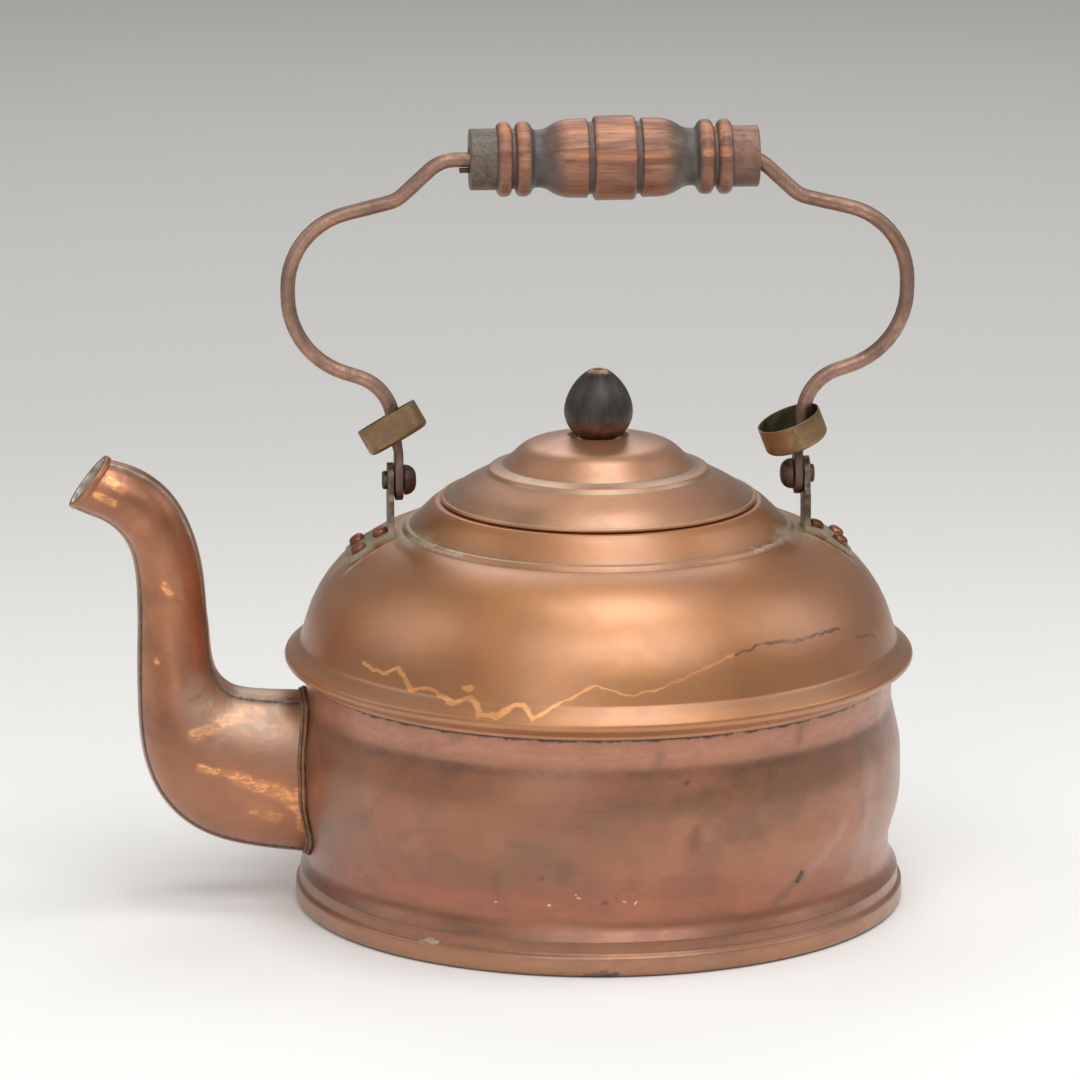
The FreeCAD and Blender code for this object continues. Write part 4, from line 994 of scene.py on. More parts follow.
@dataclass(frozen=True)
class SpoutFinish(Finish):
    """Rubbed copper of the spout: seams with verdigris, bright worn places mixed with painted highlights and
    glints, tin at the root and inside, and a painted pale sheen low down.

    Rubbed and highlit places and the tin run from one place to another across the front view, with their half
    width, all in millimetres, and each of the former with its strength. Heights of the painted pale sheen and
    of the lime are metres.
    """

    light: Colour
    deep: Colour
    wear_and_glint_noise: ClassVar[Noise] = Noise(420.0, 5.0, 0.7, 0.6, (0.45, 1.0, 1.1), 1.0)
    rubbed_and_highlit: ClassVar[tuple[tuple[float, ...], ...]] = (
        (-179, 162, -175, 159, 3.2, 1.0), (-184, 157, -178, 154, 2.6, 1.0), (-160, 123, -158, 120, 2.6, 1.0),
        (-163.5, 95.5, -163, 94, 1.7, 1.0), (-150, 68, -134, 74, 4.2, 1.0), (-148, 56, -134, 53, 2.8, 1.0),
        (-134, 52, -118, 46, 4.6, 1.0), (-120, 47, -112, 41, 5.0, 1.0), (-112, 47, -111, 32, 3.2, 1.0),
        (-128, 40, -120, 37, 5.0, 0.5))
    tinned: ClassVar[tuple[float, ...]] = (-137, 79, -114, 74, 24)
    pale_sheen_below: ClassVar[tuple[float, float]] = (0.078, 0.040)
    limed_above: ClassVar[tuple[float, float]] = (0.105, 0.150)

    def paint(self, g: Graph, effects: Effects) -> Inputs:
        """Sockets and values for the shader's inputs."""
        place = g.object_place()
        part = g.split(place)
        flat = g.add("ShaderNodeCombineXYZ", {0: part[0], 1: part[2]})[0]

        def front_stroke(x: float, z: float, to_x: float, to_z: float, width: float) -> Socket:
            """Soft stroke across the front view."""
            return g.group(effects.stroke, Place=flat, From=(x * MM, z * MM, 0.0),
                           To=(to_x * MM, to_z * MM, 0.0), Width=width * MM, Edge=0.8)["Mask"]

        cloud = g.group(effects.mottle, Place=place, Scale=1.6)
        colour = g.mix(cloud["Broad"], self.deep, self.light)
        colour = g.lay(colour, shade(140, 92, 64), cloud["Patch"], 0.4)
        # Painted pale sheen on the lower spout.
        colour = g.mix(g.step(part[2], *self.pale_sheen_below, 0.0, 0.4), colour, shade(196, 138, 106))
        ragged = g.step(self.wear_and_glint_noise.on(g, place), 0.36, 0.64, 0.3, 1.2)
        # Worn bright copper mixed with painted highlights and glints: a soft orange glow, then ragged bright
        # places.
        for *run, strength in self.rubbed_and_highlit:
            mask = front_stroke(*run)
            colour = g.lay(colour, shade(226, 148, 94), mask, 0.4 * strength)
            worn = g.step(g.times(mask, ragged), 0.4, 1.1, 0.0, strength)
            colour = g.mix(worn, colour, shade(248, 174, 114))
        tin = g.times(front_stroke(*self.tinned), g.span(cloud["Patch"], 0.5, 0.85))
        colour = g.mix(tin, colour, shade(194, 168, 146))
        seam = g.times(g.mask("seam"), g.span(cloud["Fine"], 0.6, 1.0))
        pale = g.times(g.step(part[2], *self.limed_above), g.span(cloud["Patch"], 0.5, 1.0))
        colour = g.mix(seam, colour, g.mix(pale, shade(54, 48, 42), shade(178, 176, 158)))
        inside = g.mask("inside")
        colour = g.mix(inside, colour, g.mix(cloud["Patch"], shade(214, 208, 196), shade(112, 98, 86)))
        dull = g.math("MAXIMUM", g.times(inside, 0.9), g.times(seam, 0.8))
        return {"Base Color": colour, "Metallic": g.less(0.82, g.times(dull, 0.75)),
                "Roughness": g.plus(g.span(cloud["Patch"], 0.36, 0.50), g.times(tin, 0.12)),
                "Coat Weight": 0.6, "Coat Roughness": 0.38, "Normal": g.bump(cloud["Fine"], 0.00008, 0.35)}


@dataclass(frozen=True)
class PaperFinish(Finish):
    """Pale paper with painted shade: it darkens away from the scene's camera, standing in for light that
    falls off.
    """

    near: Colour
    far: Colour

    def paint(self, g: Graph, effects: Effects) -> Inputs:
        """Sockets and values for the shader's inputs."""
        # Painted falloff of light: the paper darkens away from the camera.
        colour = g.mix(g.step(g.split(g.object_place())[1], -0.1, 0.95), self.near, self.far)
        return {"Base Color": colour, "Roughness": 0.9}


# ---- the kettle ----


@dataclass
class KettleBody:
    """Wall, dome and bottom."""

    sheet: float = 1.0
    wall: tuple[Corner, ...] = (
        (109.4, 0, 0), (112.6, 0, 2.6), (112.6, 7.2, 1.2), (110.9, 8.4, 0.9), (110.9, 12.6, 1.2),
        (107.6, 17.6, 9.0), (107.6, 26.2, 12.0), (111.85, 41.0, 40.0), (111.85, 60.0, 40.0),
        (108.3, 75.5, 10.0), (108.3, 96.0, 0))
    dome_ring: float = 62.0
    dome_round: float = 48.0
    dome_centre: float = 92.3
    slope: float = math.radians(13.25)

    def dome(self) -> tuple[Corner, ...]:
        """Outside corners of the shoulder dome."""
        side, bead_top = self.dome_ring + self.dome_round, 98.8
        start = 2 * math.atan2(bead_top - self.dome_centre, self.dome_round)
        end = math.pi / 2 - self.slope
        reach = self.dome_round / math.cos((end - start) / 2)
        middle, neck = (start + end) / 2, 72.2
        corner = (self.dome_ring + reach * math.cos(middle), self.dome_centre + reach * math.sin(middle))
        step = corner[1] + (corner[0] - neck) * math.tan(self.slope)
        return ((109.35, 86.9, 0), (109.35, 88.0, 0.6), (117.7, 92.4, 2.2), (side, bead_top, 3.0),
                (*corner, self.dome_round), (neck, step, 0.7), (71.1, 140.9, 1.2), (69.6, 141.3, 0.7),
                (62.6, 148.2, 12.0), (60.0, 150.05, 2.0), (54.0, 150.05, 1.6), (54.0, 142.5, 0))

    @staticmethod
    def wall_marks() -> tuple[Mark, ...]:
        """Corrosion, scratches, specks and smudges of the wall, pale bands, painted glints and sheen, and
        painted shade beneath the dome's bead.
        """
        rings = tuple(
            Mark((Stroke((-179.0, height), (179.0, height), width),), tone, *rest, 1.0)
            for height, width, tone, *rest in (
                (81.5, 10.0, shade(210, 146, 118), 0.6, 0.35, 0.0),
                (4.5, 8.0, shade(206, 154, 116), 0.5, 0.25, 0.0),
                # Painted shade beneath the overhang of the dome's bead, over the dark seam.
                (86.5, 1.1, shade(42, 37, 37), 0.95, 0.0, 0.2)))
        smears_and_sheen = (
            # Painted orange glints, broken into streaks across the waist.
            Mark((Stroke((-60.0, 24.0), (70.0, 22.0), 9.0),), shade(190, 112, 78), 0.4, 0.9, -0.03, 1.0),
            # Painted greyish pink sheen down the right side of the wall.
            Mark((Stroke((58.0, 62.0), (56.0, 30.0), 9.0), Stroke((48.0, 44.0), (40.0, 30.0), 5.0)),
                 shade(188, 150, 130), 0.4, 0.4, 0.0, 1.0),
            Mark((spot(-11.0, 36.0, 5.0, 1.0, 5.0), spot(-24.0, 33.0, 4.0, 0.5, 3.0),
                  spot(6.5, 77.0, 3.4, 0.8, 3.0), spot(37.0, 80.0, 4.5, 1.0, 6.0),
                  spot(54.0, 45.0, 3.4, 0.5, 6.0), spot(13.0, 47.0, 4.0, 0.6, 6.0),
                  spot(-44.0, 70.0, 4.6, 2.0, 4.0), spot(-33.0, 84.0, 3.4, 2.0, 2.0)),
                 shade(104, 80, 62), 0.42, 0.35, 0.05, 1.0),
            Mark((Stroke((38.6, 29.0), (31.5, 20.5), 3.0),), shade(92, 78, 60), 0.55, 0.5, 0.15, 1.0))
        specks = (
            Mark((spot(37.2, 27.6, 1.9, 0.5, 2.0),), shade(40, 46, 42), 0.9, 0.3, 0.25),
            Mark((spot(11.9, 70.2, 1.5, 0.4, 0.2), spot(-3.6, 26.3, 1.6, 0.5, 0.4),
                  spot(-15.3, 35.5, 1.2, 0.5, 0.4)), shade(84, 64, 62), 0.7, 0.1, 0.1, 1.0),
            Mark((spot(-24.6, 25.4, 0.45), spot(-14.2, 25.0, 0.5, 0.2, 0.4), spot(-8.6, 28.3, 0.4, 0.5, -0.3),
                  spot(-9.0, 29.4, 0.32), spot(0.2, 26.5, 0.42), spot(2.4, 26.2, 0.55, 0.4, 0.3)),
                 shade(226, 206, 190), 0.75, 0.1, 0.1))
        scratches = (
            Mark(line_of_strokes([(-1.2, 27.0), (-1.0, 30.0), (0.6, 31.6), (2.2, 31.8)], [0.8, 0.9, 0.7]),
                 shade(98, 66, 54), 0.25, 0.3, 0.0, 1.0),
            Mark((Stroke((-39.5, 8.0), (-35.6, 8.2), 0.6), Stroke((-38.5, 8.6), (-37.0, 8.9), 0.4)),
                 shade(222, 208, 196), 0.85, 0.6, -0.05),
            Mark((Stroke((-7.2, 0.8), (-1.2, 1.0), 1.5), Stroke((-5.6, 2.2), (-3.0, 2.4), 1.0)),
                 shade(58, 53, 44), 0.8, 0.35, 0.2, 0.8))
        return rings + smears_and_sheen + specks + scratches

    @staticmethod
    def dome_marks() -> tuple[Mark, ...]:
        """The bright splash, burns, a green spot, and pale lime round the brackets and the neck."""
        splash = [(-55.8, 104.4), (-49.7, 102.9), (-46.1, 106.2), (-42.0, 99.6), (-37.9, 101.4),
                  (-32.2, 97.6), (-29.2, 100.2), (-26.2, 95.6), (-23.0, 95.2), (-20.2, 98.9), (-18.3, 99.1),
                  (-16.3, 95.6), (-11.7, 100.4), (-5.2, 106.4), (1.4, 102.5), (7.1, 104.9), (15.2, 110.0),
                  (23.1, 114.0)]
        widths = [0.9, 1.0, 1.2, 0.9, 1.0, 1.0, 1.25, 1.0, 1.1, 0.8, 0.9, 0.8, 0.55, 0.5, 0.45, 0.5, 0.45]
        burn = [(23.1, 114.0), (30.5, 116.4), (39.3, 115.1), (51.5, 115.4)]
        lime = ((90, 130.0, 90, 132.0, 11.0), (81, 128.0, 81, 139.0, 3.0), (99, 128.0, 99, 139.0, 3.0),
                (88, 139.0, 68, 141.0, 4.6), (118, 140.2, 78, 140.6, 3.0), (78, 140.2, 62, 140.6, 2.0),
                (62, 140.2, 48, 140.6, 1.0))
        return (
            Mark(line_of_strokes(splash, widths), shade(248, 170, 96), 1.0, 0.25, -0.06),
            Mark(line_of_strokes([(8.0, 105.6), (16.0, 110.6), (23.1, 114.2)], [0.9, 0.9]),
                 shade(206, 128, 78), 0.7, 0.6),
            Mark((spot(-30.4, 103.2, 1.1, 1.6, 0.6),), shade(244, 166, 92), 1.0, 0.2, -0.06),
            Mark(line_of_strokes(burn, [0.5, 0.75, 0.7]), shade(84, 38, 26), 0.95, 0.6, 0.1),
            Mark(line_of_strokes([(56.5, 110.4), (62.6, 109.1), (65.7, 105.6)], [0.6, 0.55]),
                 shade(104, 58, 36), 0.8, 0.7, 0.1),
            Mark((spot(54.3, 118.9, 0.7, 0.2, 1.2),), shade(96, 126, 92), 0.8, 0.2, 0.2),
            Mark(tuple(Stroke((side * a, low), (side * b, high), width)
                       for a, low, b, high, width in lime for side, _ in SIDES),
                 shade(202, 186, 156), 0.85, 0.4, 0.12, 1.0))

    def wall_radius(self, height: np.ndarray) -> np.ndarray:
        """Outside radius of the wall at some heights."""
        line = rounded_points(self.wall[1:])
        order = np.argsort(line[:, 1])
        return np.interp(height, line[order, 1], line[order, 0])

    def build(self, effects: Effects) -> None:
        """Make the wall, the dome and dress the bottom."""
        # The wall's dark crease tone gives its dirt specks and paints shade in its creases: a contact shadow
        # at the bottom edge, shade in the foot's groove and cove, and a shadow line below the step at 74 mm.
        wall = CopperFinish(
            "wall_copper", shade(174, 116, 82), shade(142, 93, 66), shade(166, 98, 70), shade(58, 50, 44),
            (0.38, 0.52), shade(116, 90, 68), stained=0.5, patchy=0.3,
            creases=((8.4, 1.2, 0.35), (13.6, 2.4, 0.2), (0.0, 1.0, 1.0), (74.0, 3.5, 0.35)),
            blush_bands=((25.0, 17.0, 0.75), (82.0, 9.0, 0.4)), brushed=0.3, marks=self.wall_marks(),
            gloss=1.55).material(effects)
        finished("kettle_wall", spun(self.wall, self.sheet, dents(0.08, 3)), Body.KETTLE, wall,
                 ["body_wall"])
        dome = CopperFinish(
            "dome_copper", shade(194, 128, 66), shade(170, 107, 53), shade(162, 99, 49), shade(112, 98, 74),
            (0.41, 0.46), shade(160, 108, 72), stained=0.3, patchy=0.18,
            creases=((97.6, 1.6, 0.3), (139.6, 1.1, 0.5), (141.4, 0.9, 0.5), (142.8, 1.6, 0.2)),
            marks=self.dome_marks()).material(effects)
        finished("shoulder", spun(self.dome(), self.sheet, dents(0.10, 8)), Body.KETTLE, dome,
                 ["shoulder_dome"])
        dressed(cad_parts["base_plate"].data, wall)


@dataclass
class Spout:
    """The swan-neck spout in two lapped halves, its collar and its lip.

    Each station has its middle as shares of reach and height, its half depth as a share of the root's, its
    half width as a share of its half depth, and its tilt in degrees. The lap and the seam's fade are angles
    round the section in radians; the root blends into the wall over a share of the length.
    """

    body: KettleBody
    sheet: float = 1.0
    lap: float = 0.38
    lap_half: float = 0.26
    lap_rise: float = 0.7
    seam_fade: float = 0.09
    root_blend: float = 0.16
    steps: int = 130
    half_steps: int = 64
    reach: float = 185.5
    height: float = 158.85
    root_depth: float = 29.9
    stations: tuple[tuple[float, float, float, float, float], ...] = (
        (0.571, 0.309, 1.0, 0.74, 0.0), (0.682, 0.32, 0.97, 0.745, 2.9),
        (0.77, 0.351, 0.913, 0.75, 14.8), (0.817, 0.406, 0.836, 0.76, 25.1),
        (0.838, 0.472, 0.729, 0.78, 35.2), (0.845, 0.562, 0.579, 0.85, 48.3),
        (0.847, 0.678, 0.425, 0.97, 72.9), (0.855, 0.816, 0.393, 0.985, 90.0),
        (0.875, 0.888, 0.388, 0.985, 77.0), (0.914, 0.948, 0.411, 0.94, 64.7),
        (0.961, 0.983, 0.395, 0.95, 48.6), (1.0, 1.0, 0.353, 0.98, 38.0))

    def section(self, share: np.ndarray) -> tuple[np.ndarray, ...]:
        """Middle, half depth, half width and tilt at shares of the way to the mouth."""
        table = np.array(self.stations)
        out, up = table[:, 0] * self.reach, table[:, 1] * self.height
        way = np.r_[0, np.cumsum(np.hypot(np.diff(out), np.diff(up)))]
        way /= way[-1]
        depth = table[:, 2] * self.root_depth
        columns = (out, up, depth, depth * table[:, 3], np.radians(table[:, 4]))
        return tuple(spline(way, column, share) for column in columns)

    def surface(self, share: np.ndarray, turn: np.ndarray, rise: np.ndarray | float) -> np.ndarray:
        """Points of the spout's skin.

        Args:
            share: Share of the way from the wall to the mouth.
            turn: Angle round the section; nought is its upper, inner end.
            rise: Distance out from the outside surface.

        Returns:
            Grid of points.
        """
        out, up, depth, width, tilt = self.section(share)
        x = -out + (depth + rise) * np.cos(turn) * np.sin(tilt)
        y = (width + rise) * np.sin(turn)
        z = up + (depth + rise) * np.cos(turn) * np.cos(tilt)
        near = np.clip(1 - share / self.root_blend, 0, 1) ** 2
        seat = -np.sqrt(np.maximum(self.body.wall_radius(z) ** 2 - y**2, 1.0))
        x = x + near * (seat + self.stations[0][0] * self.reach)
        return np.stack([x, y, z], axis=-1)

    def half(self, first: float, last: float) -> Shape:
        """One half of the tube between two angles."""
        turns = np.linspace(first, last, self.half_steps)
        share, turn = np.meshgrid(np.linspace(0, 1, self.steps), turns, indexing="ij")
        off = np.minimum(turn - first, last - turn) - self.lap
        seam = np.clip(1 - off / self.seam_fade, 0, 1) if first >= math.pi else np.zeros_like(turn)
        return slab(self.surface(share, turn, 0.0), self.surface(share, turn, -self.sheet), seam)

    def lap_strip(self, middle: float, lean: int) -> Shape:
        """The raised lap along one edge, reaching over the front half."""
        across = np.array([-1, -0.97, -0.88, -0.6, 0, 0.5, 0.75, 0.88, 0.97, 1])
        share, place = np.meshgrid(np.linspace(0, 1, self.steps), across, indexing="ij")
        turn = middle + lean * (self.lap - self.lap_half + self.lap_half * place)
        rise = self.lap_rise * (1 - np.abs(place) ** 6) ** 0.5
        seam = np.clip((place - 0.7) / 0.25, 0, 1)
        return slab(self.surface(share, turn, rise - 0.02), self.surface(share, turn, -0.35), seam)

    def lip(self) -> Shape:
        """The ring round the mouth."""
        corners = [(-self.sheet, 0, 0.4), (1.05, 0, 0.3), (1.05, 2.2, 0.7), (-self.sheet, 2.2, 0.7)]
        ring = rounded_points(corners, True)
        turn = np.linspace(0, 2 * math.pi, 72, endpoint=False)
        tilt = math.radians(self.stations[-1][4])
        rows = []
        for rise, along in ring:
            skin = self.surface(np.ones_like(turn), turn, rise)
            rows.append(skin + np.array([-math.cos(tilt), 0, math.sin(tilt)]) * along)
        inner = np.repeat((ring[:, 0] < -self.sheet + 0.2).astype(float), len(turn))
        return Shape(np.array(rows).reshape(-1, 3), grid_faces(len(ring), len(turn), True, True), inner)

    def collar(self, beads: BeadTree, material: Material) -> None:
        """Two beads round the root, run along the wall."""
        turn = np.linspace(0, 2 * math.pi, 120, endpoint=False)
        joined = bpy.data.meshes.new("spout_collar_beads")
        with edited(joined) as work:
            for off_wall, rise, radius in ((0.7, 0.95, 0.95), (2.0, 0.65, 0.7)):
                line = self.surface(np.zeros_like(turn), turn, rise)
                line[:, 0] -= off_wall
                work.from_mesh(beads.run(line, radius, material))
        dressed(joined, material)
        declared(linked("spout_collar_beads", joined), Body.KETTLE, ["spout_collar"])

    def build(self, effects: Effects, beads: BeadTree) -> None:
        """Make both halves, the lip and the collar."""
        copper = SpoutFinish("spout_copper", shade(180, 118, 83), shade(146, 94, 66)).material(effects)
        finished("spout_front", self.half(math.pi, 2 * math.pi), Body.KETTLE, copper,
                 ["spout_front_half"])
        rear = Shape.joined([self.half(0, math.pi), self.lap_strip(0.0, -1), self.lap_strip(math.pi, 1)])
        finished("spout_rear", rear, Body.KETTLE, copper, ["spout_rear_half"])
        finished("spout_mouth_ring", self.lip(), Body.KETTLE, copper, ["spout_lip"])
        collar = PlainMetal("collar_copper", shade(168, 114, 84), shade(112, 88, 70), shade(146, 146, 126),
                            (0.45, 0.7), 0.8).material(effects)
        self.collar(beads, collar)


@dataclass
class Hinges:
    """Brackets, their rivets and the bail's pivots."""

    body: KettleBody
    pivot: float = 158.45
    outer: float = math.radians(57.5)
    inner: float = math.radians(68.4)
    spread: float = math.radians(4.6)
    rivet: tuple[Corner, ...] = (
        (0, -2.02, 0), (2.4, -2.02, 0.4), (2.4, -1.12, 0), (1.6, -1.12, 0), (1.6, 1.8, 0), (3.1, 1.8, 0.1),
        (3.1, 3.95, 2.0), (0, 3.95, 0))
    pin: tuple[Corner, ...] = (
        (67.1, 0, 0), (67.1, 5.6, 4.15), (71.5, 5.6, 0.2), (71.5, 2.5, 0), (77.7, 2.5, 0), (77.7, 3.4, 0),
        (79.6, 3.4, 0.9), (79.6, 0, 0))

    def places(self, side: int) -> tuple[np.ndarray, np.ndarray]:
        """Places on the dome and facings of one bracket's rivets."""
        points, facing = [], []
        for rise, turn in ((self.outer, -self.spread), (self.outer, self.spread), (self.inner, 0.0)):
            out = np.array([side * math.cos(turn), math.sin(turn), 0])
            normal = out * math.cos(rise) + np.array([0, 0, math.sin(rise)])
            ring = out * self.body.dome_ring
            points.append(ring + normal * self.body.dome_round + np.array([0, 0, self.body.dome_centre]))
            facing.append(normal)
        return np.array(points), np.array(facing)

    def build(self, effects: Effects, rivets: RivetTree) -> None:
        """Make brackets, rivets and pivots on both sides."""
        tinned = PlainMetal("bracket_tin", shade(122, 106, 92), shade(72, 61, 53), shade(168, 158, 138),
                            (0.45, 0.7), 0.5, lower=(139.0, 146.0, shade(176, 163, 140))).material(effects)
        copper = PlainMetal("rivet_copper", shade(170, 108, 82), shade(112, 70, 54), shade(88, 66, 54),
                            (0.38, 0.55), 0.4).material(effects)
        dark = PlainMetal("pivot_copper", shade(116, 92, 84), shade(76, 62, 58), shade(104, 92, 84),
                          (0.46, 0.62), 0.3).material(effects)
        proto = finished("rivet_pattern", turned(rounded_points(self.rivet, run=1.0), False, segments=40),
                         Body.KETTLE, copper, [])
        for side, word in SIDES:
            softened(f"bracket_{word}", f"bail_bracket_{word}", 0.28, Body.KETTLE, tinned)
            mesh = rivets.run(proto, *self.places(side), copper)
            mesh.name = f"foot_rivets_{word}"
            declared(linked(mesh.name, mesh), Body.KETTLE, [f"bracket_rivets_{word}"])
            line = rounded_points(self.pin, run=1.0)
            line[:, 0] *= side
            pin = turned(line, False, Axis.ALONG, segments=48)
            finished(f"pivot_{word}", pin.moved(Matrix.Translation((0, 0, self.pivot))), Body.KETTLE,
                     dark, [f"hinge_rivet_{word}"])
        bpy.data.objects.remove(proto)


@dataclass
class Bail:
    """The bent rod with its flattened eyes.

    Each row of flats has a height, both half sizes of the rod's section there and how square it is.
    """

    path: tuple[Corner, ...] = (
        (0, 277.0, 0), (57.5, 277.0, 14.0), (73.5, 262.3, 12.0), (113.4, 252.5, 28.0), (113.4, 205.5, 30.0),
        (76.6, 193.5, 18.0), (75.0, 176.5, 6.0), (73.5, 169.0, 6.0), (73.5, 150.85, 0))
    flats: tuple[tuple[float, float, float, float], ...] = (
        (178.0, 2.7, 2.7, 2.0), (174.0, 2.25, 3.0, 2.6), (170.0, 1.75, 3.6, 4.0), (166.0, 1.7, 5.2, 6.0),
        (162.0, 1.7, 6.45, 7.0), (158.45, 1.7, 6.6, 7.0), (155.0, 1.7, 6.15, 7.0), (152.6, 1.7, 4.5, 7.0),
        (151.3, 1.6, 2.3, 6.0), (150.85, 1.3, 0.3, 4.0))

    def half(self, side: int) -> tuple[np.ndarray, np.ndarray, np.ndarray, np.ndarray]:
        """Middle line of one arm and the section sizes along it."""
        line = rounded_points(self.path, run=1.6)
        heights, *columns = np.array(self.flats)[::-1].T
        sizes = [np.interp(line[:, 1], heights, column) for column in columns]
        line = line * np.array([side, 1.0])
        return line, *sizes

    def build(self, effects: Effects) -> None:
        """Sweep the rod from eye to eye."""
        left, right = self.half(-1), self.half(1)
        line = np.vstack([left[0][::-1], right[0][1:]])
        thin, wide, square = (np.r_[a[::-1], b[1:]] for a, b in zip(left[1:], right[1:]))
        along = np.gradient(line, axis=0)
        along /= np.linalg.norm(along, axis=1)[:, None]
        side = np.c_[along[:, 1], -along[:, 0]]
        turn = np.linspace(0, 2 * math.pi, 36, endpoint=False)
        rows = []
        for (x, z), (sx, sz), a, b, power in zip(line, side, thin, wide, square):
            c, s = np.cos(turn), np.sin(turn)
            flat = np.sign(c) * np.abs(c) ** (2 / power) * a
            broad = np.sign(s) * np.abs(s) ** (2 / power) * b
            rows.append(np.c_[x + sx * flat, broad, z + sz * flat])
        points = np.array(rows).reshape(-1, 3)
        faces = grid_faces(len(rows), len(turn), False, True)
        last = (len(rows) - 1) * len(turn)
        faces += [tuple(range(len(turn))), tuple(range(last, last + len(turn)))]
        copper = PlainMetal("rod_copper", shade(188, 150, 130), shade(140, 112, 98), shade(100, 82, 70),
                            (0.40, 0.56), 0.35, lower=(168.0, 186.0, shade(100, 84, 77))).material(effects)
        finished("bail_bent_rod", Shape(points, faces, np.zeros(len(points))), Body.BAIL,
                 copper, ["bail_rod"])


@dataclass
class Grip:
    """The turned grip, its wedge and its loose end cups."""

    start: float = -47.1
    length: float = 105.4
    axis: float = 277.0
    tenon: float = 9.6
    end: tuple[Corner, ...] = (
        (0, 5.0, 0.3), (0, 11.2, 0.7), (9.8, 11.2, 0), (9.8, 13.7, 2.4), (15.2, 13.7, 2.3), (15.2, 11.0, 0.4),
        (16.7, 11.0, 0.4), (16.7, 13.7, 2.3), (21.6, 13.7, 3.0), (23.2, 10.5, 1.8), (27.1, 10.5, 7.0),
        (32.7, 14.2, 14.0), (43.0, 14.5, 0.9), (43.0, 13.2, 0.35), (45.0, 13.2, 0.35), (45.0, 15.4, 1.6))
    cup: tuple[Corner, ...] = (
        (4.9, 0, 0.15), (11.95, 0, 1.8), (11.95, 10.4, 0.2), (11.35, 10.4, 0.2), (11.35, 0.6, 1.2),
        (4.9, 0.6, 0.15))

    def build(self, effects: Effects) -> None:
        """Make the grip, the wedge and both cups."""
        half = list(self.end)
        corners = half + [(self.length - x, r, c) for x, r, c in reversed(half)]
        line = rounded_points(corners, True, run=1.2)
        line[:, 0] += self.start
        marks = [(10.0, 0.9, 0.9), (16.0, 1.8, 1.0), (22.6, 1.7, 1.0), (25.4, 5.6, 1.0), (44.0, 2.2, 1.0),
                 (30.2, 6.0, 0.85), (25.2, 4.4, 1.0)]
        bands = [(self.start + x, w, s) for x, w, s in marks]
        bands += [(self.start + self.length - x, w, s) for x, w, s in marks]
        wood = WoodFinish("grip_wood", shade(206, 138, 96), shade(122, 73, 52), shade(74, 68, 63),
                          tuple(bands), self.start + self.tenon,
                          self.start + self.length - self.tenon).material(effects)
        shape = turned(line, True, Axis.ALONG, segments=160)
        finished("grip_turning", shape.moved(Matrix.Translation((0, 0, self.axis))), Body.GRIP,
                 wood, ["grip"])
        sliver = PlainMetal("wedge_wood", shade(150, 84, 46), shade(40, 28, 22), shade(26, 20, 18),
                            (0.6, 0.8), 0.5, metallic=0.0).material(effects)
        softened("grip_sliver", "grip_wedge", 0.15, Body.GRIP, sliver)
        brass = PlainMetal("cup_brass", shade(164, 132, 95), shade(126, 102, 75), shade(92, 80, 62),
                           (0.40, 0.56), 0.35, inner=shade(98, 102, 78)).material(effects)
        profile = rounded_points(self.cup, True, run=1.5)
        inner = ((profile[:, 0] < 11.5) & (profile[:, 1] > 0.3)).astype(float)
        for word, body, place, lean, nod in (
                ("left", Body.CUP_LEFT, (-72.9, 0, 173.2), -30.0, -10.0),
                ("right", Body.CUP_RIGHT, (73.5, 0, 169.9), -21.0, 5.5)):
            turn = Matrix.Rotation(math.radians(lean), 4, "Y") @ Matrix.Rotation(math.radians(nod), 4, "X")
            shape = turned(profile, True, inner=inner, segments=96)
            finished(f"end_cup_{word}", shape.moved(Matrix.Translation(place) @ turn), body,
                     brass, [f"grip_cap_{word}"])


